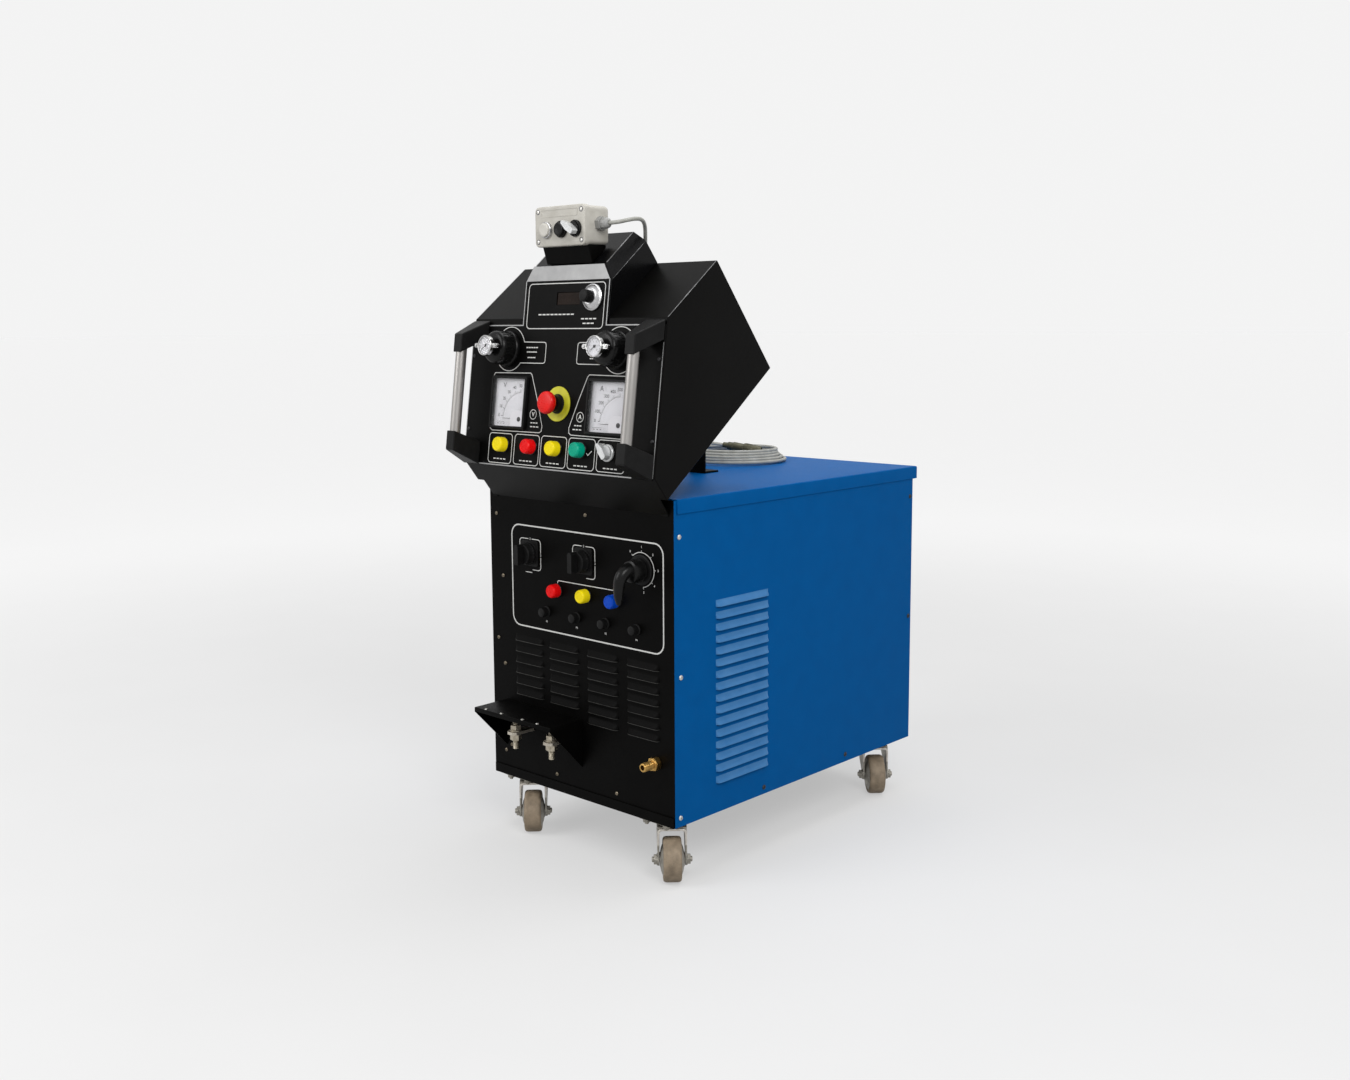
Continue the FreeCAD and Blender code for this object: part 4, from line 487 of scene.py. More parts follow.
screws("front_screws", ((-221.6, 623), (-205, 504), (-222, 380.5), (-204, 332), (24, 641), (-61, 142),
                        (97, 141), (-189, 173), (-206, 159)), CABINET, dull_zinc, 3.8, "fasteners")
screws("rear_screws", [(x, z) for z in (640, 400, 160) for x in (-225, 225)], REAR, zinc_plate, 5.0)
for shade, places, material in (("bright", ((13, 621), (16, 376), (14, 126)), zinc_plate),
                                ("dark", ((722, 624), (722, 372), (244, 123), (502, 125)), dark_zinc)):
    for side, place in SIDES.items():
        screws(f"{shade}_side_screws_{side}", places, place, material, 4.6)


# Four swivel castors carry the tray: a galvanised plate on four bolts, a ball race, a pressed yoke with a
# bright bent edge over the wheel, and a wheel with a cast core and a worn tan tread.
galvanised = finish("galvanised", (0.36, 0.34, 0.30), (0.20, 0.19, 0.165), 120.0, (0.38, 0.6), 500.0, 0.0004,
                    0.75)
bright_edge = finish("bright_edge", (0.60, 0.57, 0.52), (0.45, 0.42, 0.38), 150.0, (0.35, 0.5), 600.0,
                     0.0002, 0.8)
tan_tread = finish("tan_tread", (0.34, 0.265, 0.185), (0.20, 0.155, 0.105), 70.0, (0.55, 0.8), 450.0, 0.0006)
race_paint_and_well_shadow = finish("race_paint_and_well_shadow", (0.022, 0.022, 0.06), (0.012, 0.012, 0.03), 90.0, (0.4, 0.6), 500.0,
                    0.0002)
CASTORS = {f"{end}_{side}": (x, y) for end, y in (("front", 50), ("rear", 678))
           for side, x in (("left", -184), ("right", 184))}
HUB = (35, 40)
YOKE_BACK = -24
YOKE_FRONT = 39
LEG_OUT = 26


def arc(x, y, radius, start, end, steps=10):
    return [polar(radius, math.radians(start + (end - start) * i / steps), x, y) for i in range(steps + 1)]


bm = bmesh.new()
races = bmesh.new()
for cx, cy in CASTORS.values():
    prism(bm, oblong(cx - 33.5, cx + 33.5, cy - 47.5, cy + 47.5), 107, 110)
    turned(races, [(24, 107), (24, 104.5), (22.5, 101.2), (0, 101.2)], cx, cy, 40)
    turned(bm, [(6, 101.5), (6, 96), (10, 95.9), (10, 93), (8, 92), (0, 92)], cx, cy, 24)
    for x, y in oblong(cx - 24, cx + 24, cy - 38, cy + 38):
        turned(bm, [(8.5, 107), (8.5, 105.8), (4, 105.8)], x, y, 20)
        hexagon(bm, 13, 100.5, 106, x, y, 0.4)
        turned(bm, [(3.6, 101), (3.6, 97.5), (2.9, 96.6), (0, 96.6)], x, y, 16)
made("castor_top_plates", bm, BUILD, galvanised, "caster_steel", "caster_plates", bevel=0.6)
made("castor_races", races, BUILD, race_paint_and_well_shadow, "caster_steel")

# A castor's own x runs along its trail. Seen from the side, y is up and z runs along the axle.
for corner, (cx, cy) in CASTORS.items():
    place = Matrix.Translation(spot(cx, cy, 0)) @ rotation(-45) @ Matrix.Scale(MM, 4)
    from_side = place @ facing(RIGHT, UP, FRONT)
    bm = bmesh.new()
    leg = [(YOKE_BACK, 96.5), (YOKE_FRONT, 96.5)] + arc(*HUB, 11, 15, -195, 16) + [(-19, 74)]
    for low, high in ((LEG_OUT - 3, LEG_OUT), (-LEG_OUT, 3 - LEG_OUT)):
        prism(bm, leg, low, high)
    bmesh.ops.transform(bm, matrix=facing(RIGHT, UP, FRONT), verts=bm.verts)
    prism(bm, oblong(YOKE_BACK, YOKE_FRONT, -LEG_OUT, LEG_OUT), 96.4, 100.2)
    turned(bm, [(27, 96.6), (27, 103.2), (25.5, 103.8), (24.6, 103.6), (24.6, 98.2)], steps=44)
    made(f"{corner}_castor_yoke", bm, place, galvanised, "caster_steel", f"{corner}_caster_fork",
         f"{corner}_caster", bevel=1.0)
    bm = bmesh.new()
    outer = ([(-26.3, 50), (-26.3, 90)] + arc(-18.3, 90, 8, 180, 90, 6) + arc(18.3, 90, 8, 90, 0, 6)
             + [(26.3, 50)])
    inner = [(22.6, 50), (22.6, 88)] + arc(17.1, 88.5, 5.5, 0, 90, 6) + arc(-17.1, 88.5, 5.5, 90, 180, 6)
    prism(bm, outer + inner + [(-22.6, 50)], 0, 4)
    made(f"{corner}_castor_edge", bm, place @ Matrix.Translation((38.5, 0, 0)) @ facing(BACK, UP, RIGHT),
         bright_edge, "caster_steel", body=f"{corner}_caster", bevel=0.8)
    bm = bmesh.new()
    core = bmesh.new()
    for way in (1, -1):
        turned(bm, [(5, 0), (5, way * 35), (4, way * 36), (0, way * 36)], *HUB, 20)
        hexagon(bm, 17, *sorted((way * 26, way * 32.5)), *HUB, 0.3)
        turned(bm, [(10.5, way * 25.8), (10.5, way * 27.4), (6, way * 27.4)], *HUB, 24)
        turned(core, [(31.5, 0), (31.5, way * 15.2), (30, way * 15.8), (28, way * 16.2), (25.5, way * 17.8),
                      (20, way * 19.8), (13, way * 21.2), (12, way * 22.2), (5.6, way * 22.2)], *HUB, 48)
    made(f"{corner}_castor_axle", bm, from_side, galvanised, "caster_steel", body=f"{corner}_caster",
         bevel=0.6)
    bm = bmesh.new()
    half_tread = [(40, 4), (39.9, 10.5), (39.2, 13.8), (37.4, 15.8), (35, 16.5), (33, 16.2), (30.5, 14.5)]
    turned(bm, [(radius, -level) for radius, level in reversed(half_tread)] + half_tread, *HUB, 72)
    made(f"{corner}_castor_tread", bm, from_side, tan_tread, "caster_tread", f"{corner}_caster_wheel",
         f"{corner}_wheel")
    made(f"{corner}_castor_core", core, from_side, galvanised, "caster_steel", body=f"{corner}_wheel")


# The front carries a printed white frame round two rotary switches, a main switch with a gooseneck lever,
# three pilot lamps and four fuse caps. The printing is thin white ink on the black coat.
white_ink = finish("white_ink", (0.72, 0.72, 0.70), (0.60, 0.60, 0.58), 200.0, (0.4, 0.55), 900.0, 0.00005)


def ribbon(bm, points, width, closed=False, thick=0.15, base=0.0):
    """A flat printed line by the points."""
    left, right = [], []
    last = len(points) - 1
    for i, (x, y) in enumerate(points):
        before = points[i - 1 if closed or i else 0]
        after = points[(i + 1) % len(points) if closed else min(i + 1, last)]
        into = Vector((x - before[0], y - before[1]))
        out = Vector((after[0] - x, after[1] - y))
        into = into.normalized() if into.length > 1e-6 else out.normalized()
        out = out.normalized() if out.length > 1e-6 else into
        way = (into + out).normalized()
        across = Vector((-way.y, way.x)) * (width / 2) / max(0.5, way.dot(into))
        left.append((x + across.x, y + across.y))
        right.append((x - across.x, y - across.y))
    joined(bm, [[(*a, base), (*a, base + thick), (*b, base + thick), (*b, base)]
                for a, b in zip(left, right)], again=closed)


def dashes(bm, count, x, y, step, half, width, **more):
    """Short dashes in a row about x."""
    for i in range(count):
        middle = x + (i - (count - 1) / 2) * step
        ribbon(bm, [(middle - half, y), (middle + half, y)], width, **more)


def tick(bm, centre, angle, near, far, width, **more):
    ribbon(bm, [polar(near, angle, *centre), polar(far, angle, *centre)], width, **more)


def rounded_box(x0, x1, y0, y1, r, steps=6):
    return (arc(x1 - r, y1 - r, r, 90, 0, steps) + arc(x1 - r, y0 + r, r, 0, -90, steps)
            + arc(x0 + r, y0 + r, r, -90, -180, steps) + arc(x0 + r, y1 - r, r, 180, 90, steps))


def add_curve(bm, curve, place=Matrix()):
    """Add a curve's surface to the mesh, and drop the curve."""
    holder = bpy.data.objects.new("holder", curve)
    surface = bpy.data.meshes.new_from_object(holder)
    surface.transform(place)
    bm.from_mesh(surface)
    bpy.data.objects.remove(holder)
    bpy.data.curves.remove(curve)
    bpy.data.meshes.remove(surface)


def lettered(bm, words, x, y, size, base=0.0):
    text = bpy.data.curves.new("words", "FONT")
    text.body = words
    text.size = size
    text.align_x = "CENTER"
    text.align_y = "CENTER"
    text.extrude = 0.08
    text.offset = 0.018 * size
    text.resolution_u = 4
    add_curve(bm, text, Matrix.Translation((x, y, base)))


SWITCHES = {"range_switch": (-126.5, 555.5), "fine_switch": (18.5, 556.7)}
MAIN_AT = (163.0, 557.6)
LAMPS_Z = 494
LAMPS = {"red": [(-53, LAMPS_Z)], "yellow": [(24, LAMPS_Z)], "blue": [(98, LAMPS_Z)]}
FUSES = [(x, 450) for x in (-83, -2, 73, 150)]
BRACKETS = (((-29, 14), (-22, 22, 180, 90), (-5, 29)), ((5, 29), (22, 22, 90, 0), (29, 4)),
            ((29, -4), (22, -22, 0, -90), (6, -29)))
bm = bmesh.new()
ribbon(bm, rounded_box(-178, 215, 414, 607, 20), 2.6, closed=True)
for cx, cy in SWITCHES.values():
    for start, (bend_x, bend_y, first, last), end in BRACKETS:
        bracket = [start] + arc(bend_x, bend_y, 7, first, last, 5) + [end]
        ribbon(bm, [(cx + x, cy - 2 + y) for x, y in bracket], 1.5)
    lettered(bm, "2", cx, cy + 27, 6)
    lettered(bm, "3", cx + 29, cy - 2, 6)
ribbon(bm, arc(*MAIN_AT, 30.5, 132, -82, 40), 1.3)
for i in range(6):
    angle = math.radians(132 - i * 42.8)
    tick(bm, MAIN_AT, angle, 30.5, 34, 1.1)
    lettered(bm, str(i), *polar(40, angle, *MAIN_AT), 5.5)
ribbon(bm, [(-52, 502), (-52, 507)] + arc(-48, 508.5, 4, 180, 90, 4) + arc(93, 508.5, 4, 90, 0, 4)
       + [(97, 502)], 1.6)
ribbon(bm, [(-140, 519), (-122, 519)], 1.4)
for number, (x, z) in enumerate(FUSES, 1):
    lettered(bm, f"F{number}", x, z - 19, 5)
made("front_printing", bm, CABINET, white_ink, "white_plastic")

gloss_black = finish("gloss_black", (0.004, 0.004, 0.004), (0.006, 0.006, 0.006), 80.0, (0.16, 0.3), 700.0,
                     0.0001, gloss=0.16)
moulded_black = finish("moulded_black", (0.005, 0.005, 0.005), (0.008, 0.008, 0.008), 80.0, (0.32, 0.5),
                       900.0, 0.0002, gloss=0.11)
bm = bmesh.new()
for cx, cy in SWITCHES.values():
    prism(bm, rounded_box(cx - 23, cx + 23, cy - 24, cy + 24, 5), 0, 2.4)
    turned(bm, [(22.5, 2.3), (22.5, 3.8), (21.6, 4.2), (0, 4.2)], cx, cy)
turned(bm, [(27, 0), (27, 3.2), (25.5, 4.2), (0, 4.2)], *MAIN_AT)
made("switch_base_plates", bm, CABINET, moulded_black, "black_plastic", "switch_plates", bevel=0.5)


def moved(place, x, y, z=0.0):
    return place @ Matrix.Translation((x, y, z))


for name, (cx, cy) in SWITCHES.items():
    bm = bmesh.new()
    turned(bm, [(21, 4.5), (21, 9), (20, 10.5), (19.2, 20), (18, 21.4), (0, 21.4)], steps=64)
    for x, y in circle(20.6, 24):
        turned(bm, [(1.3, 5), (1.3, 9.6), (0.9, 10.4), (0, 10.4)], x, y, 8)
    prism(bm, [(-5.5, -18), (5.5, -18), (5.5, 15), (2.6, 19.4), (-2.6, 19.4), (-5.5, 15)], 21, 36)
    made(f"{name}_grip", bm, moved(CABINET, cx, cy), moulded_black, "black_plastic", f"{name}_knob", name,
         bevel=1.1, rounds=3)

LEVER_ROUTE = ((0, 2, 8), (0, 4, 24), (-1, 3, 38), (-3, -8, 49), (-5, -26, 51), (-7, -46, 49), (-8, -55, 47))
LEVER_RADII = (13, 13, 12.5, 11.5, 10, 8.5, 5)
MAIN_PLACE = moved(CABINET, *MAIN_AT)
bm = bmesh.new()
add_curve(bm, tube("lever", LEVER_ROUTE, 1.0, 8, 24, LEVER_RADII))
made("main_switch_lever", bm, MAIN_PLACE, gloss_black, "black_plastic", body="main_switch")


def lathed(name, profile, place, material, slot, node=None, steps=48, **more):
    """A piece that is one lathe shape about its place's z."""
    bm = bmesh.new()
    turned(bm, profile, steps=steps)
    return made(name, bm, place, material, slot, node, **more)


lathed("main_switch_hub", [(21, 4.5), (21, 12), (20.2, 24), (18.8, 28.5), (15, 30.6), (0, 31)], MAIN_PLACE,
       gloss_black, "black_plastic", "main_switch_handle", 64, body="main_switch")


# Pilot lamps: a flat coloured cap with a raised rim in a thin black bezel. Moulded in tinted plastic.
def lens(name, light, dark):
    """Tinted plastic that is darker where it turns away, and glows a little."""
    material = finish(name, light, dark, 40.0, (0.22, 0.34), 300.0, 0.0001, gloss=0.16)
    tree = material.node_tree
    shader = tree.nodes["Principled BSDF"]
    mottled = shader.inputs["Base Color"].links[0].from_socket
    facing_away = worked(tree, "LayerWeight", {"Blend": 0.35}, "Facing")
    deeper = colour(tree, facing_away, light, [0.45 * part for part in dark])
    fed(tree, shader, {"Base Color": deeper, "Emission Color": mottled, "Emission Strength": 0.25})
    return material


LENSES = {"red": lens("red_lens", (0.72, 0.003, 0.004), (0.56, 0.002, 0.003)),
          "yellow": lens("yellow_lens", (0.80, 0.64, 0.006), (0.64, 0.50, 0.004)),
          "green": lens("green_lens", (0.0, 0.32, 0.20), (0.0, 0.23, 0.14)),
          "blue": lens("blue_lens", (0.001, 0.06, 0.48), (0.001, 0.04, 0.36))}
CAP_RIM = ((1.0, 2), (1.1, 15), (1.7, 17.4), (3.0, 18.8), (4.8, 19), (5.4, 18.3))
BEZEL = ((0, 0), (0, 1.6), (0.7, 2.5), (1.6, 2.6), (1.8, 1.0))


def pilot_lamps(panel, ending, place, lamps, cap, bezel, nodes):
    """The caps of a panel's lamps, by colour, and all their bezels, of the given radii."""
    rims = bmesh.new()
    for tint, places in lamps.items():
        bm = bmesh.new()
        for x, y in places:
            turned(bm, [(cap - inset, level) for inset, level in CAP_RIM] + [(0, 18.8)], x, y, 40)
            turned(rims, [(bezel - inset, level) for inset, level in BEZEL], x, y, 40)
        made(f"{panel}_{tint}_{ending}", bm, place, LENSES[tint], tint + "_lens", nodes.get(tint))
    made(f"{panel}_lamp_rims", rims, place, gloss_black, "black_plastic")


pilot_lamps("cabinet", "lamp", CABINET, LAMPS, 13.5, 13.5, {"blue": "blue_lamp"})
bm = bmesh.new()
for x, z in FUSES:
    turned(bm, [(10, 0), (10, 1.6), (9.2, 2.4), (8.5, 3), (8.4, 12), (7.8, 14.4), (6.6, 15), (0, 15)], x, z,
           36)
    for rib in circle(8.3, 18, x, z):
        turned(bm, [(0.8, 3.2), (0.8, 12.5), (0.4, 13.4), (0, 13.4)], *rib, 8)
made("fuse_caps", bm, CABINET, moulded_black, "black_plastic", "fuse_holders")


# The output studs stand under a hood folded from black sheet, with sloping cheeks and bright rivets along
# its front. Each stud clamps a pale tinned bar between washers and nuts. Beside them a brass air inlet is
# screwed to the front.
bm = bmesh.new()
HOOD_PROFILE = ((-79, HOOD_TOP - 8), (-79, HOOD_TOP), (0, HOOD_TOP), (0, 170))
left, right = [[bm.verts.new((x, y, z)) for y, z in HOOD_PROFILE] for x in HOOD_X]
for corners in ((left[0], right[0], right[1], left[1]), (left[1], right[1], right[2], left[2]),
                (right[0], right[3], right[2], right[1]), (left[3], left[0], left[1], left[2])):
    bm.faces.new(corners)
folds = [edge for edge in bm.edges if len(edge.link_faces) == 2]
bmesh.ops.bevel(bm, geom=folds, offset=1.6, segments=3, affect="EDGES", profile=0.5)
sheet("hood_sheet", bm, BUILD, black_coat, "console_black", "terminal_hood")
bm = bmesh.new()
for x in (-175, -131, -72, -31):
    turned(bm, [(3.6, 260.6), (3.5, 261.4), (2.6, 262.3), (1.2, 262.7), (0, 262.8)], x, -74, 18)
made("hood_rivets", bm, BUILD, zinc_plate, "zinc")


def threaded(bm, radius, low, high, x, y, pitch=1.75, depth=0.7):
    count = int((high - low) / pitch)
    step = (high - low) / count
    profile = [(0, low)]
    for i in range(count):
        profile += [(radius - depth, low + step * i), (radius, low + step * (i + 0.5))]
    turned(bm, profile + [(radius - depth, high), (0, high)], x, y, 28)


tinned = finish("tinned", (0.60, 0.56, 0.48), (0.40, 0.36, 0.30), 90.0, (0.35, 0.55), 600.0, 0.0003, 0.8)
stud_steel = finish("stud_steel", (0.50, 0.45, 0.36), (0.30, 0.27, 0.21), 150.0, (0.32, 0.5), 700.0, 0.0002,
                    0.9)
STUD_Y = -35
BAR_LOW = 213
BAR_HIGH = 219
bars = bmesh.new()
studs = bmesh.new()
for x in (-137, -37):
    bar = ((-12.5, 44), (-12.5, -44), (-6.5, -50), (6.5, -50), (12.5, -44), (12.5, 44))
    prism(bars, [(x + across, y) for across, y in bar], BAR_LOW, BAR_HIGH)
    threaded(studs, 6.0, 184.2, 247.8, x, STUD_Y)
    for low, high in ((BAR_HIGH, 221.4), (210.6, BAR_LOW)):
        turned(studs, [(0, low), (11.6, low), (12, low + 0.4), (12, high - 0.4), (11.6, high), (0, high)],
               x, STUD_Y, 32)
    for low, turn in ((221.4, 0.35), (201.6, 0.8)):
        hexagon(studs, 19, low, low + 9, x, STUD_Y, turn)
made("output_bars", bars, BUILD, tinned, "copper_bar", "output_busbars", bevel=0.6)
made("output_studs", studs, BUILD, stud_steel, "zinc", bevel=0.4)

brass = finish("brass_metal", (0.60, 0.38, 0.12), (0.36, 0.21, 0.06), 120.0, (0.22, 0.42), 500.0, 0.0002,
               1.0)
AIR_AT = (197, 219)
bm = bmesh.new()
hexagon(bm, 22, 0.2, 12, *AIR_AT, 0.2)
turned(bm, [(10.4, 12), (9.6, 13.2), (7.2, 13.4), (7.2, 16)], *AIR_AT, 40)
barbs = [at for i in range(10) for at in ((7.3, 16 + 2 * i), (8.0, 17 + 2 * i))]
turned(bm, [(5, 15.9)] + barbs + [(7.4, 36), (6.4, 37), (4.6, 37), (4.5, 15), (0, 15)], *AIR_AT, 40)
made("air_inlet", bm, CABINET, brass, "brass", "air_fitting", bevel=0.5)

# On the back a hexagonal black gland holds the mains cable, and a grille is punched in front of the fan.
# Inside stand a varnished transformer, a finned heat sink and a fan motor on four arms.
MAINS_AT = (-150, 190)
bm = bmesh.new()
for low, high, flats in ((0.1, 9.2, 34.6), (12.5, 19.5, 29.0)):
    rim = circle(flats / math.sqrt(3), 6, *MAINS_AT)
    hole = circle(9.3, 6, *MAINS_AT)
    for i in range(6):
        j = (i + 1) % 6
        prism(bm, [rim[i], rim[j], hole[j], hole[i]], low, high)
turned(bm, [(9.2, 9), (13.6, 9), (13.6, 19.6), (12.4, 20.6), (9.2, 20.6)], *MAINS_AT, 40)
made("mains_gland_nut", bm, REAR, moulded_black, "black_plastic")
varnish = finish("core_varnish", (0.085, 0.07, 0.055), (0.05, 0.042, 0.035), 60.0, (0.35, 0.55), 500.0,
                 0.0004, 0.3)
sink_metal = finish("sink_metal", (0.56, 0.57, 0.58), (0.42, 0.43, 0.44), 60.0, (0.35, 0.5), 500.0, 0.0003,
                    1.0)
kept("main_transformer", varnish, 0.8)
kept("fan_motor", galvanised, 0.6)
kept("rectifier_stack", sink_metal, 0.4)
kept("fan_blades", moulded_black, 0.4)


# The console is a box of folded black sheet, tilted back over the front edge of the lid. Its coat shines a
# little, so the bends catch the light. A narrower flange runs down from it and is screwed to the cabinet
# front.
LEAN = math.radians(7.5)
PLATE_FOOT = (-56.5, 730)
MIDDLE = drawing(spot(0, 0, 0), BACK, UP, RIGHT)
FACE = drawing(spot(0, *PLATE_FOOT), RIGHT, (0, math.sin(LEAN), math.cos(LEAN)),
               (0, -math.cos(LEAN), math.sin(LEAN)))
console_coat = finish("console_coat", (0.0028, 0.0027, 0.0025), (0.0018, 0.0017, 0.0016), 12.0, (0.26, 0.40),
                      900.0, 0.00015, gloss=0.05)
bm = bmesh.new()
prism(bm, [(-53.9, 726.7), (-19.2, 990.4), PEAK, (250.6, 901), (-23.1, 687.2)], -247, 247)
made("console_box", bm, MIDDLE, console_coat, "console_black", "console_shell", bevel=1.6, rounds=3)
bm = bmesh.new()
prism(bm, [(-24.5, 689), (0, 657.6), (0, 661), (-22.5, 690)], -229, 229)
for x in (-222, 222):
    prism(bm, oblong(-1.5, 0, 656, 668), x - 6, x + 6)
made("console_flange", bm, MIDDLE, console_coat, "console_black", bevel=0.5)
screws("plate_screws", [(x, e) for x in (-238, 238) for e in (57.6, 194.4)], FACE, dark_zinc, 3.4)

# The display housing runs back up the sloping top as a folded tunnel with bevelled shoulders. Its coat is
# glossier, and thin strips of painted highlight run along its folds and along the console's side bends.
housing_coat = finish("housing_coat", (0.003, 0.003, 0.0033), (0.002, 0.002, 0.0022), 14.0, (0.16, 0.3),
                      600.0, 0.0001, gloss=0.12)
edge_highlight = finish("painted_edge_highlight", (0.40, 0.40, 0.41), (0.03, 0.03, 0.03), 60.0, (0.3, 0.45), 500.0, 0.0001, 0.8)
TOP_NORMAL = Vector((0, -math.sin(SLANT), math.cos(SLANT)))
PLATE_TOP = 260
SHOULDERS = ((90, 68), (108, 48), (-90, 68), (-108, 48))


def tunnel_line(x, n):
    """Both ends of the tunnel's line at x, n above the sloping top."""
    e = PLATE_TOP + n / math.cos(SLANT + LEAN)
    front = Vector((x, PLATE_FOOT[0] + e * math.sin(LEAN), PLATE_FOOT[1] + e * math.cos(LEAN)))
    return front, Vector((x, *PEAK)) + n * TOP_NORMAL


def streak(bm, start, end, half):
    """A strip of painted highlight along a fold, just proud of it."""
    lift = TOP_NORMAL * 0.25
    across = Vector((half if start.x > 0 else -half, 0, 0))
    joined(bm, [[p + lift - across, p + lift * 0.4 + across, p + across - lift, p - across - lift]
                for p in (start, end)])


bm = bmesh.new()
lines = [tunnel_line(x, n) for x, n in ((-108, 0), (-108, 48), (-90, 68), (90, 68), (108, 48), (108, 0))]
joined(bm, [[front + Vector((0, 3.0, -0.4)) for front, rear in lines], [rear for front, rear in lines]])
made("display_tunnel", bm, BUILD, housing_coat, "console_black", "display_housing", bevel=1.4, rounds=3)
bm = bmesh.new()
for x, n in SHOULDERS:
    front, rear = tunnel_line(x, n)
    streak(bm, front + Vector((0, 6, 2)), rear - Vector((0, 2, 1.5)), 1.1)
for x in (-245.6, 245.6):
    streak(bm, Vector((x, -17.4, 991.6)), Vector((x, 103.4, 1086.0)), 0.7)
made("tunnel_edge_highlights", bm, BUILD, edge_highlight, "console_black")


# The instrument plate is black anodised metal with a silver chamfer. Its tab closes the housing and ends in
# a plain bare silver strip. All frames and figures are printed in white.
plate_black = finish("plate_black", (0.003, 0.0029, 0.0028), (0.002, 0.002, 0.0019), 20.0, (0.28, 0.4),
                     1200.0, 0.0001, gloss=0.045)
bare_silver = finish("bare_silver", (0.33, 0.33, 0.33), (0.28, 0.28, 0.28), 50.0, (0.36, 0.48), 900.0,
                     0.0001, 0.5)
PLATE_XS = (-246, -171, -108, -83, -23, 36, 83, 108, 171, 246)
PLATE_ES = (-7, 66.5, 154.5, 252, 287, 309, 328.5)
TAB_FOOT = 252
TAB_TOP = 357
TAB_X = 108
METER_X = 127
METER_E = 110.5


def is_plate(x, e):
    in_meter = abs(abs(x) - METER_X) < 44 and abs(e - METER_E) < 44
    in_display = -23 < x < 36 and 287 < e < 309
    return not in_meter and not in_display and (e < TAB_FOOT or abs(x) < TAB_X)


bm = bmesh.new()
grid = patched(bm, PLATE_XS, PLATE_ES, is_plate)
bm.faces.new([grid[(x, PLATE_ES[-1])] for x in PLATE_XS if abs(x) <= TAB_X]
             + [bm.verts.new((x, TAB_TOP, 0)) for x in (90, -90)])
thick = bmesh.ops.extrude_face_region(bm, geom=list(bm.faces))["geom"]
bmesh.ops.translate(bm, verts=[part for part in thick if isinstance(part, bmesh.types.BMVert)],
                    vec=(0, 0, -3))
made("instrument_plate", bm, FACE, plate_black, "plate_black", "console_front_panel", bevel=0.5)
bm = bmesh.new()
prism(bm, [(-107.2, 330), (107.2, 330), (90.2, 356.4), (-90.2, 356.4)], 0, 0.5)
made("silver_strip", bm, FACE, bare_silver, "handle_aluminium", bevel=0.2)
bm = bmesh.new()
for line, width in (([(-201, -5), (196.5, -5)], 2.2), ([(-208, 251), (-107, 251), (-107, 330)], 2.0),
                    ([(107, 330), (107, 251), (191, 251)], 2.0), ([(245.2, -3), (245.2, 222)], 1.6),
                    ([(-245.2, -3), (-245.2, 222)], 1.6)):
    ribbon(bm, line, width, thick=0.3)
made("silver_lines", bm, FACE, bare_silver, "handle_aluminium")

KEYHOLE_STEM = ((46, 183), (42, 184.5), (41, 188), (41, 215.6), (42.4, 219.2), (46, 220.6))
METER_FRAME = ((177, 160), (174, 164), (76, 165), (72, 161), (54, 120), (35, 71), (36, 62), (41, 59),
               (171, 58), (177, 62))
bm = bmesh.new()
for side, centre, unit in ((-1, -138, "V"), (1, 144, "A")):
    bow = [polar(40, math.radians(a)) for a in range(19, 322, 6)]
    ribbon(bm, [(centre - side * x, 208 + e) for x, e in bow] + [(centre - side * 31.2, 183)]
           + [(side * x, e) for x, e in KEYHOLE_STEM], 1.3, closed=True)
    for e, long in ((211, 32), (203, 28), (193, 22)):
        dashes(bm, 5, centre - side * 60, e, long / 5, long / 13, 2.0)
    ribbon(bm, [(side * x, e) for x, e in METER_FRAME], 1.3, closed=True)
    ribbon(bm, arc(side * 61, 91, 8.5, 0, 345, 28), 1.1, closed=True)
    lettered(bm, unit, side * 61, 91, 11)
    for x, e, long in ((57, 76, 20), (55.6, 69, 24)):
        dashes(bm, 3, side * x, e, long / 3, long / 8, 1.9)
for x0, x1, rise in ((-176, -112, 0), (-105, -38.6, 0.6), (-33.4, 32.6, 1), (38, 104.5, 1),
                     (110.6, 178, 1.5)):
    ribbon(bm, rounded_box(x0, x1, rise - 1.2, rise + 53.2, 7), 1.3, closed=True)
    dashes(bm, 4, (x0 + x1) / 2, 6.5, 9, 3.2, 2.0)
ribbon(bm, [(84, 30), (88, 26), (97, 34)], 1.4)
lettered(bm, "ON", 163, 46, 6)
lettered(bm, "OFF", 122, 46, 6)
ribbon(bm, rounded_box(-98, 98, 245, 325, 8), 1.5, closed=True)
dashes(bm, 9, -22, 270, 10.5, 4, 2.2)
dashes(bm, 4, 62, 262, 10, 3.8, 2.2)
dashes(bm, 3, 62, 254, 10, 3.8, 2.2)
made("plate_printing", bm, FACE, white_ink, "white_plastic")


# Two panel meters: a black moulded frame, a white card with a quarter scale round its lower right corner, a
# thin needle, a clear pane, and a white corner piece with the black zero screw.
card_white = finish("card_white", (0.70, 0.69, 0.72), (0.66, 0.65, 0.68), 30.0, (0.5, 0.6), 600.0, 0.00005)
card_ink = finish("card_ink", (0.02, 0.02, 0.02), (0.03, 0.03, 0.03), 200.0, (0.5, 0.6), 600.0, 0.00005)
needle_black = finish("needle_black", (0.012, 0.012, 0.012), (0.02, 0.02, 0.02), 200.0, (0.4, 0.5), 600.0,
                      0.00005)
clear_pane, tree, shader = blank("clear_pane")
smears = grain(tree, 30.0)
fed(tree, shader, {"Transmission Weight": 0.9, "IOR": 1.3, "Alpha": 0.16,
                   "Roughness": between(tree, smears, 0.02, 0.12),
                   "Base Color": colour(tree, smears, (0.95, 0.96, 0.97), (0.85, 0.87, 0.88))})

CARD = -2.7
ON_CARD = {"thick": 0.08, "base": CARD}
WELL = 43.5
PIVOT = (29, -29)


def square(x, y, half):
    return oblong(x - half, x + half, y - half, y + half)


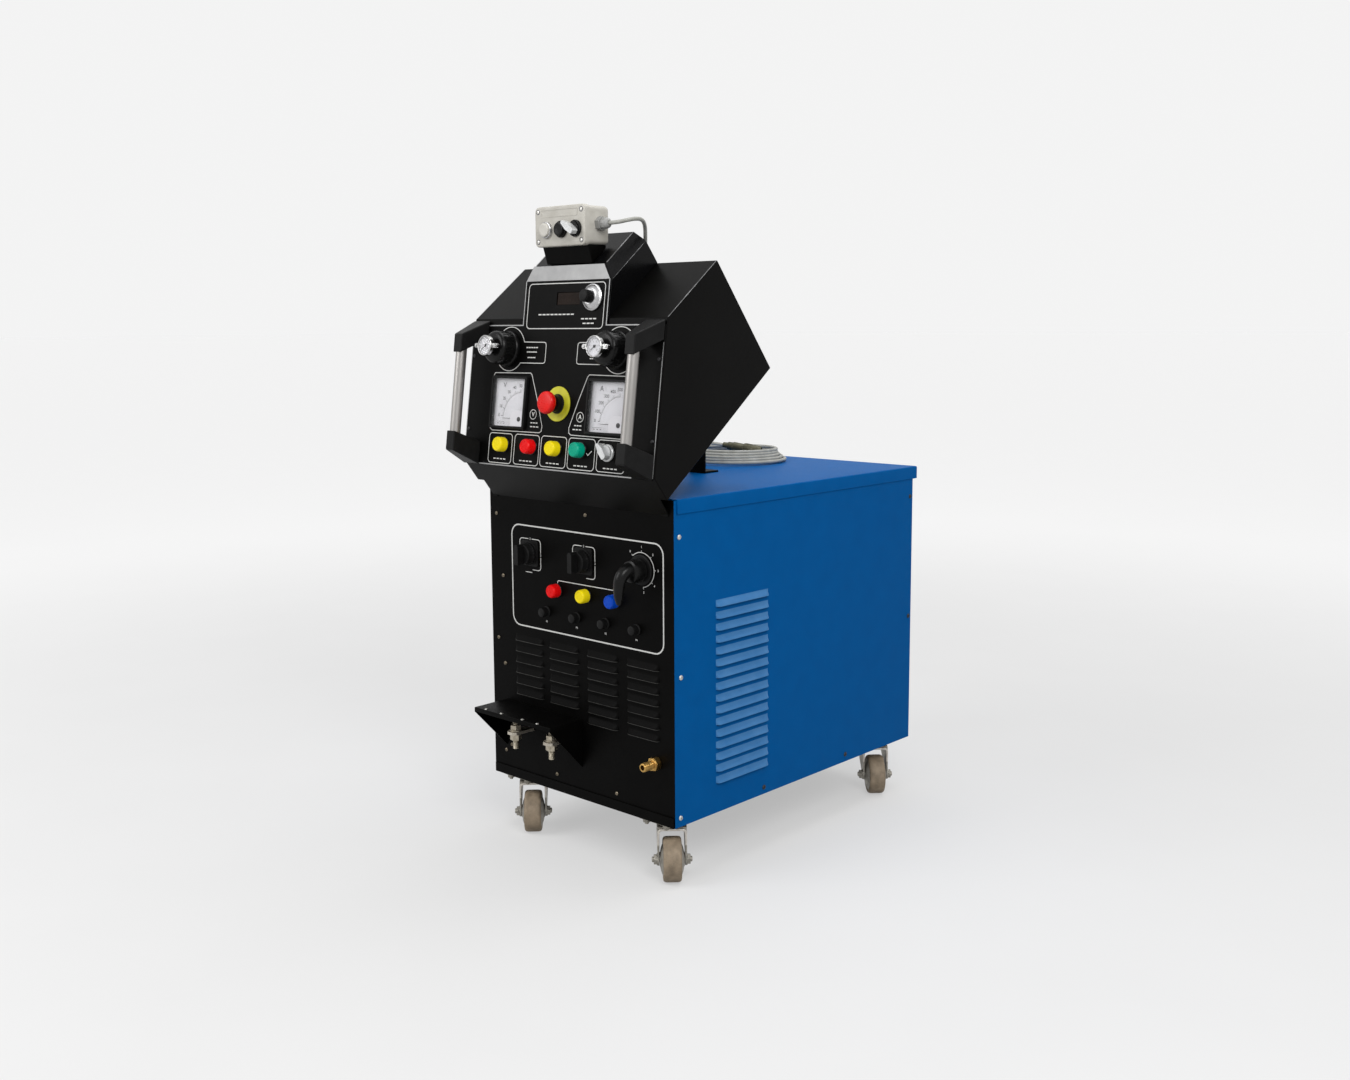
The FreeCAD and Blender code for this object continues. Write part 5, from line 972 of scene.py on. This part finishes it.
cases = bmesh.new()
cards = bmesh.new()
marks = bmesh.new()
panes = bmesh.new()
blocks = bmesh.new()
for side, unit, figure in ((-1, "V", 10), (1, "A", 100)):
    cx = side * METER_X
    outer = [(x - cx, e - METER_E) for x, e in rounded_box(cx - 48, cx + 48, METER_E - 48, METER_E + 48, 3)]
    inner = [(max(-WELL, min(WELL, x)), max(-WELL, min(WELL, e))) for x, e in outer]
    section = ((outer, 1, 0), (outer, 1, 5.4), (outer, 0.975, 7), (inner, 1.008, 7), (inner, 1, 6.2),
               (inner, 1, -3.0))
    joined(cases, [[(cx + x * size, METER_E + e * size, level) for x, e in points]
                   for points, size, level in section], capped=False)
    prism(cards, square(cx, METER_E, 43.4), -2.98, CARD)
    prism(panes, square(cx, METER_E, 43.4), 3.6, 4.6)
    pivot = (cx + PIVOT[0], METER_E + PIVOT[1])
    ribbon(marks, arc(*pivot, 48, 94, 176, 30), 0.5, **ON_CARD)
    for i in range(26):
        angle = math.radians(95 + 80 * i / 25)
        long, width = (2.6, 0.6) if i % 5 else (5.5, 1.0)
        tick(marks, pivot, angle, 48, 48 + long, width, **ON_CARD)
        if i % 5 == 0:
            lettered(marks, str((5 - i // 5) * figure), *polar(60, angle, *pivot), 8.2, CARD)
    lettered(marks, unit, cx - 20, 142, 13, CARD)
    dashes(marks, 1, cx - 25, 75, 0, 11, 0.5, **ON_CARD)
    dashes(marks, 3, cx - 24, 72, 8, 2, 1.2, **ON_CARD)
    turned(marks, [(4.2, 5.6), (4.2, 6.4), (2.9, 6.8), (0, 6.8)], cx + 34, 80.5, 24)
    prism(blocks, [(cx + 43.2, 67.3), (cx + 43.2, 96)] + arc(cx + 22, 84, 12, 90, 180, 6)
          + [(cx + 10, 67.3)], 4.7, 5.6)
made("meter_frames", cases, FACE, moulded_black, "meter_plastic", "meter_cases")
made("meter_cards", cards, FACE, card_white, "white_plastic")
made("meter_scales", marks, FACE, card_ink, "pointer_black")
made("meter_panes", panes, FACE, clear_pane, "clear_window", "instrument_windows")
made("meter_corner_pieces", blocks, FACE, card_white, "white_plastic", bevel=0.3)


def needle(body, place, length, tail, width):
    bm = bmesh.new()
    prism(bm, [(-length, -0.25), (0, -width / 2), (tail, -width / 2), (tail, width / 2), (0, width / 2),
               (-length, 0.25)], 0, 0.6)
    turned(bm, [(0, 0), (2.6, 0), (2.6, 1.2), (2.0, 1.6), (0, 1.7)], steps=24)
    made(f"{body}_needle", bm, place, needle_black, "pointer_black", f"{body}_pointer", body)


for side, name in ((-1, "voltmeter"), (1, "ammeter")):
    needle(name, moved(FACE, side * METER_X + PIVOT[0], METER_E + PIVOT[1], CARD + 0.4), 50, 6, 1.3)

# A brown tinted window covers the digits of the display. Beside it a counting dial has a turned silver skirt
# and a black finger knob.
brown_window = finish("brown_window", (0.016, 0.009, 0.006), (0.010, 0.006, 0.004), 40.0, (0.08, 0.16),
                      400.0, 0.00005, gloss=0.12)
dim_segments = finish("dim_segments", (0.026, 0.012, 0.008), (0.02, 0.009, 0.006), 60.0, (0.3, 0.4), 400.0,
                      0.00005, gloss=0.1)
turned_silver = finish("turned_silver", (0.56, 0.56, 0.56), (0.40, 0.40, 0.41), 200.0, (0.18, 0.34), 900.0,
                       0.0001, 1.0)
DIAL_PLACE = moved(FACE, 70, 299)
ON_WINDOW = {"thick": 0.1, "base": -1.7}
bm = bmesh.new()
prism(bm, oblong(-22.8, 35.8, 287.2, 308.8), -12, -1.6)
made("display_window", bm, FACE, brown_window, "clear_window", bevel=0.4)
bm = bmesh.new()
for digit in range(4):
    x = -13 + 13.5 * digit
    for e in (292, 298, 304):
        dashes(bm, 1, x, e, 0, 3, 0.9, **ON_WINDOW)
    for upright in (x - 3.8, x + 3.8):
        for e in (293, 299):
            ribbon(bm, [(upright, e), (upright, e + 4)], 0.9, **ON_WINDOW)
made("display_segments", bm, FACE, dim_segments, "clear_window")
lathed("counting_dial_skirt", [(23.5, 0.5), (23.5, 3.6), (22.6, 4.6), (21.2, 5), (20.4, 6.2), (16, 8.6),
                               (13.2, 9.6), (13, 11), (0, 11)], DIAL_PLACE, turned_silver, "chrome",
       "dial_knob", 72, body="feed_dial")
bm = bmesh.new()
for i in range(50):
    tick(bm, (0, 0), 2 * math.pi * i / 50, 21.4, 23.0, 0.5, base=4.6)
made("counting_dial_marks", bm, DIAL_PLACE, card_ink, "pointer_black", body="feed_dial")
bm = bmesh.new()
fluting = [2 * math.pi * i / 72 for i in range(72)]
prism(bm, [polar(11.0 - 0.7 * max(0.0, math.cos(18 * a)), a) for a in fluting], 10, 24)
turned(bm, [(9.8, 24), (9.4, 25.4), (8, 26), (0, 26)], steps=40)
made("counting_dial_knob", bm, DIAL_PLACE, moulded_black, "black_plastic", body="feed_dial", bevel=0.3)


# Two air regulators: a large ribbed black bell on a barrel, with a small gauge in front of it that is held
# by a chromed cross piece.
chrome = finish("chrome_metal", (0.56, 0.56, 0.55), (0.42, 0.42, 0.42), 90.0, (0.12, 0.26), 500.0, 0.0001,
                1.0)
GAUGE_REST = 35
GAUGE_CARD = 56.05
RIB_FOOT = ((30.2, -1, 10.5), (30.2, 1, 10.5), (28.9, 1, 33), (28.9, -1, 33))
RIB_TOP = ((31.6, -0.6, 11.5), (31.6, 0.6, 11.5), (30.2, 0.6, 32), (30.2, -0.6, 32))
for side, name in ((-1, "left"), (1, "right")):
    place = moved(FACE, side * 141, 208)
    bm = bmesh.new()
    turned(bm, [(12.4, 0.6), (32, 0.6), (32.6, 1.6), (32.6, 7), (31.6, 9), (30.6, 10), (29.8, 28),
                (29.2, 33), (27.6, 37), (25, 39), (21, 39.8), (13.4, 40), (12.4, 40)], steps=96)
    for i in range(28):
        turn = rotation(i * 360 / 28)
        rib = [[turn @ Vector(point) for point in ring] for ring in (RIB_FOOT, RIB_TOP)]
        bm.faces.new(joined(bm, rib, capped=False)[-1])
    made(f"{name}_regulator_bell", bm, place, gloss_black, "black_plastic", f"{name}_regulator_knob",
         f"{name}_regulator")
    lathed(f"{name}_regulator_stem", [(0, -50), (24, -50), (24, -3.2), (10, -3.1), (10, 41), (12, 42),
                                      (12, 47), (10, 48), (10, 50.8), (0, 50.8)], place, moulded_black,
           "black_plastic", steps=40)
    bm = bmesh.new()
    bar = ([(-26, -4), (26, -4)] + arc(27, 0, 4.2, -70, 70, 6) + [(26, 4), (-26, 4)]
           + arc(-27, 0, 4.2, 110, 250, 6))
    prism(bm, bar, 50.9, 56)
    for x in (-26.5, 26.5):
        turned(bm, [(2.6, 56), (2.6, 57.6), (1.8, 58.2), (0, 58.2)], x, 0, 20)
    turned(bm, [(17.4, 50.8), (18.4, 52), (18.4, 58.6), (17.8, 59.4), (17.2, 59.5), (16.4, 59.0), (16.2, 56),
                (0, 55.9)], steps=56)
    made(f"{name}_gauge_case", bm, place, chrome, "chrome", "air_regulators" if side < 0 else None,
         bevel=0.25)
    lathed(f"{name}_gauge_card", [(16.1, 55.7), (16.1, GAUGE_CARD), (0, GAUGE_CARD)], place, card_white,
           "white_plastic")
    bm = bmesh.new()
    ribbon(bm, arc(0, 0, 13.6, -45, 225, 40), 0.6, thick=0.08, base=GAUGE_CARD)
    for i in range(11):
        angle = math.radians(225 - 27 * i)
        tick(bm, (0, 0), angle, 11.8 if i % 2 else 11.0, 13.6, 0.6, thick=0.08, base=GAUGE_CARD)
        if i % 2 == 0:
            lettered(bm, str(i), *polar(8.4, angle), 3.4, 56.06)
    made(f"{name}_gauge_scale", bm, place, card_ink, "pointer_black")
    lathed(f"{name}_gauge_pane", [(0, 58.15), (16.2, 58.15), (16.2, 58.6), (0, 58.8)], place, clear_pane,
           "clear_window")
    needle(f"{name}_gauge", moved(place, 0, 0, 56.3) @ rotation(GAUGE_REST), 12.4, 4, 1.2)


# Emergency stop: a red mushroom head on a black collar, over a plain yellow ring.
yellow_ring = finish("yellow_ring", (0.62, 0.60, 0.02), (0.50, 0.47, 0.015), 60.0, (0.4, 0.55), 600.0,
                     0.0001)
stop_red = finish("stop_red", (0.78, 0.008, 0.006), (0.62, 0.005, 0.004), 60.0, (0.22, 0.36), 500.0, 0.0001,
                  gloss=0.22)
STOP_PLACE = moved(FACE, 3, 112)
lathed("stop_ring", [(15.4, 0.2), (31, 0.2), (31, 1.6), (30.3, 2.2), (15.4, 2.2)], STOP_PLACE, yellow_ring,
       "yellow_plate", "estop_collar", 72)
lathed("stop_collar", [(0, 0), (17.5, 0), (17.5, 3.6), (16.4, 4.6), (15.2, 4.8), (15, 13.2), (13.4, 13.8),
                       (9, 13.8), (8.8, 4), (0, 4)], STOP_PLACE, moulded_black, "black_plastic", steps=56)
lathed("stop_head", [(0, 10.4), (7, 10.4), (7, 20), (15.8, 21), (18, 22), (19.6, 24.4), (20, 27), (20, 29.6),
                     (19.4, 32), (17.6, 33.9), (14, 34.7), (0, 35)], STOP_PLACE, stop_red, "red_plastic",
       "estop_button", 72, body="emergency_stop")


# A row of pilot lamps, and a silver turn switch at its right end.
pilot_lamps("console", "lamps", FACE,
            {"yellow": [(-134, 33), (7, 33)], "red": [(-58, 33)], "green": [(69, 34)]}, 14.4, 15,
            {"yellow": "yellow_lamps", "red": "red_lamps", "green": "green_lamp"})
silver_plastic = finish("silver_plastic", (0.66, 0.67, 0.67), (0.54, 0.55, 0.55), 90.0, (0.25, 0.4), 600.0,
                        0.0001, 0.35)


def turn_lever(bm, low, high, reach, angle):
    """A pointed lever with a raised line, turned about its hub."""
    lever = [(-5, -11), (-3, -13), (3, -13), (5, -11), (6, 4), (2.6, reach - 1), (0, reach),
             (-2.6, reach - 1), (-6, 4)]
    turn = Matrix.Rotation(math.radians(angle), 2)
    prism(bm, [turn @ Vector(point) for point in lever], low, high)
    prism(bm, [turn @ Vector(point) for point in oblong(-0.7, 0.7, 3, reach - 3)], high, high + 0.3)


bm = bmesh.new()
turned(bm, [(0, 0.5), (15, 0.5), (15, 3.2), (14.2, 4.4), (12.8, 5.2), (12.4, 8), (0, 8)], steps=56)
turn_lever(bm, 8, 18.4, 19, 40)
made("mode_selector_head", bm, moved(FACE, 137, 33), silver_plastic, "selector_silver", "selector_knob",
     "mode_selector", bevel=0.8)


# Two upright handles protect the instruments: satin aluminium tubes held by tapered black arms.
satin = finish("satin_aluminium", (0.36, 0.345, 0.33), (0.28, 0.27, 0.26), 30.0, (0.30, 0.42), 900.0, 0.0001,
               0.75, stretch=0.1)
ARMS = (((226, 260), (195, 229)), ((-7, 35), (15, 51)))
bm = bmesh.new()
tubes = bmesh.new()
for side in (-1, 1):
    for root, tip in ARMS:
        joined(bm, [[(side * x, e, out) for x, e in oblong(*width, *height)]
                    for width, height, out in (((200, 246), root, 0.2), ((211, 233), tip, 56))])
    turned(tubes, [(9.4, 34), (10, 34.6), (10, 212), (9.4, 212.6), (0, 212.6)], side * 222, -45)
made("handle_arms", bm, FACE, moulded_black, "black_plastic", "handle_brackets", bevel=2.2, rounds=3)
made("handle_bars", tubes, FACE @ facing(RIGHT, (0, 0, -1), BACK), satin, "handle_aluminium", "handle_tubes")

# A flat strap stays the console's back on the lid, and a small black wedge carries the pendant.
kept("console_brackets", black_coat, 0.7)


# The pendant is a light grey moulded box with a push key, a second key and a turn switch. Its lid is held by
# four corner screws, and a hexagonal gland holds its cable.
pendant_grey = finish("pendant_grey", (0.56, 0.54, 0.49), (0.46, 0.44, 0.39), 45.0, (0.42, 0.58), 700.0,
                      0.0002)
key_white = finish("key_white", (0.62, 0.60, 0.55), (0.54, 0.52, 0.47), 90.0, (0.35, 0.5), 600.0, 0.0001)
gland_grey = finish("gland_grey", (0.34, 0.34, 0.33), (0.27, 0.27, 0.26), 90.0, (0.4, 0.55), 600.0, 0.0001)
PENDANT = moved(CABINET, 0, 0, 30)
PENDANT_LOW = 1115.5
PENDANT_HIGH = 1185.4
KEY_Z = 1144.44
WHITE_X = -33
BLACK_X = 5
TURN_X = 41


def half_box(bm, levels, ease):
    """Half of the pendant's case, by pairs of inset and level. Corners tighten by ease times the inset."""
    joined(bm, [[(x, z, level) for x, z in rounded_box(inset - 64, 64 - inset, PENDANT_LOW + inset,
                                                       PENDANT_HIGH - inset, 9 - ease * inset)]
                for inset, level in levels])


bm = bmesh.new()
half_box(bm, ((0, -12), (0, -2.6), (0.7, -1.0), (2.0, -0.2), (3.4, 0)), 1.0)
ribbon(bm, rounded_box(-46, 46, 1167, 1179, 3), 1.0, closed=True, thick=0.5)
made("pendant_cover", bm, PENDANT, pendant_grey, "pendant_grey", "pendant_lid")
bm = bmesh.new()
half_box(bm, ((6, -60), (4.2, -59.6), (2.4, -58), (1.5, -55), (1.5, -12.05)), 0.5)
made("pendant_box", bm, PENDANT, pendant_grey, "pendant_grey", "pendant_base")
# Each corner screw sits in a thin dark ring of painted shadow, which stands for the shade in the recess round
# its head.
bm = bmesh.new()
well_shadows = bmesh.new()
for x, z in oblong(-55, 55, 1124.5, 1176.4):
    turned(well_shadows, [(4.4, -0.1), (4.4, 0.3), (3.7, 0.45), (3.7, -0.1)], x, z, 24)
    turned(bm, [(3.4, -0.1), (3.4, 0.5), (2.8, 0.9), (0, 1.0)], x, z, 20)
made("pendant_screws", bm, PENDANT, zinc_plate, "zinc")
made("pendant_screw_well_shadows", well_shadows, PENDANT, race_paint_and_well_shadow, "black_plastic")
for x, name, material in ((WHITE_X, "white_key", turned_silver), (BLACK_X, "black_key", gloss_black),
                          (TURN_X, "switch", gloss_black)):
    lathed(f"pendant_{name}_ring", [(14.5, 0), (14.5, 3.4), (13.8, 4.6), (12.9, 5), (12.6, 4.6),
                                    (12.6, 0.4)], moved(PENDANT, x, KEY_Z), material, "chrome")
for x, name, material, slot in ((WHITE_X, "white", key_white, "white_plastic"),
                                (BLACK_X, "black", gloss_black, "black_plastic")):
    lathed(f"pendant_{name}_key_cap", [(0, 3.5), (12.0, 3.5), (12.0, 7.3), (11.4, 8.4), (10.2, 8.9),
                                       (8, 8.6), (0, 8.3)], moved(PENDANT, x, KEY_Z), material, slot,
           f"pendant_{name}_button", body=f"pendant_{name}_key")
TURN_PLACE = moved(PENDANT, TURN_X, KEY_Z)
lathed("pendant_switch_base", [(0, 0.5), (12.0, 0.5), (12.0, 7), (11.2, 8), (0, 8)], TURN_PLACE, gloss_black,
       "black_plastic", "pendant_selector", body="pendant_switch")
bm = bmesh.new()
turn_lever(bm, 7.9, 20, 20, 55)
made("pendant_switch_lever", bm, TURN_PLACE, silver_plastic, "selector_silver", body="pendant_switch",
     bevel=0.8)
bm = bmesh.new()
hexagon(bm, 22, 0, 9.6, turn=0.2)
turned(bm, [(9.8, 9.6), (9.8, 12), (9.4, 19), (8.4, 22), (6.2, 24.2), (5, 25), (3.6, 25), (3.6, 20),
            (0, 20)], steps=40)
for i in range(8):
    prism(bm, [polar(radius, math.pi * i / 4 + turn)
               for radius, turn in ((8.6, -0.12), (10.3, -0.08), (10.3, 0.08), (8.6, 0.12))], 9.8, 18)
GLAND_PLACE = Matrix.Translation(spot(62.5, *CORD_EXIT[1:])) @ rotation(90, "Y") @ Matrix.Scale(MM, 4)
made("pendant_cable_gland", bm, GLAND_PLACE, gland_grey, "cord_grey", "pendant_gland", bevel=0.4)


# Floor, lamps and sky of a plain studio. They aren't part of the object.
def looked_at(tree):
    """One where the eye sees a thing straight, in a shine or through a pane, and nought elsewhere."""
    rays = tree.nodes.new("ShaderNodeLightPath").outputs
    seen = worked(tree, "Math", {0: rays["Is Camera Ray"], 1: rays["Is Glossy Ray"]}, operation="MAXIMUM")
    return worked(tree, "Math", {0: seen, 1: rays["Is Transmission Ray"]}, operation="MAXIMUM")


FLOOR_NEAR = 0.44
FLOOR_FAR = 0.70
floor_finish, tree, shader = blank("floor_finish")
middle = worked(tree, "TexCoord", {}, "Object")
away = worked(tree, "VectorMath", {0: middle}, "Value", operation="LENGTH")
fade = worked(tree, "MapRange", {"Value": away, "From Min": 0.8, "From Max": 4.5, "To Min": FLOOR_NEAR,
                                 "To Max": FLOOR_FAR}, interpolation_type="SMOOTHSTEP")
glow = worked(tree, "Math", {0: looked_at(tree), 1: fade}, operation="MULTIPLY")
pale = colour(tree, grain(tree, 3.0), (0.36, 0.36, 0.36), (0.35, 0.35, 0.35))
fed(tree, shader, {"Base Color": pale, "Roughness": 0.9, "Specular IOR Level": 0.1,
                   "Emission Color": (1.0, 1.0, 1.0, 1.0), "Emission Strength": glow})
bm = bmesh.new()
bmesh.ops.create_grid(bm, x_segments=8, y_segments=8, size=150.0)
floor_mesh = bpy.data.meshes.new("floor")
bm.to_mesh(floor_mesh)
bm.free()
floor_mesh.materials.append(floor_finish)
floor = placed("floor", floor_mesh)

world = bpy.data.worlds.new("sky")
bpy.context.scene.world = world
world.use_nodes = True
tree = world.node_tree
fed(tree, tree.nodes["Background"], {"Color": (1.0, 1.0, 1.0, 1.0),
                                     "Strength": between(tree, looked_at(tree), 0.45, 0.9)})


def lamp(name, at, aim, size, power):
    data = bpy.data.lights.new(name, "AREA")
    data.energy = power
    data.size = size
    light = placed(name, data)
    light.location = at
    light.rotation_euler = (Vector(aim) - Vector(at)).to_track_quat("-Z", "Y").to_euler()


lamp("key_lamp", (2.6, -1.6, 2.6), (0, 0, 0.6), 1.6, 60)
lamp("front_lamp", (-1.2, -2.8, 2.2), (0, 0, 0.6), 1.8, 45)
lamp("top_lamp", (0.2, 0.6, 3.2), (0, 0.1, 0.7), 2.0, 35)

bpy.context.scene.view_settings.view_transform = "Standard"
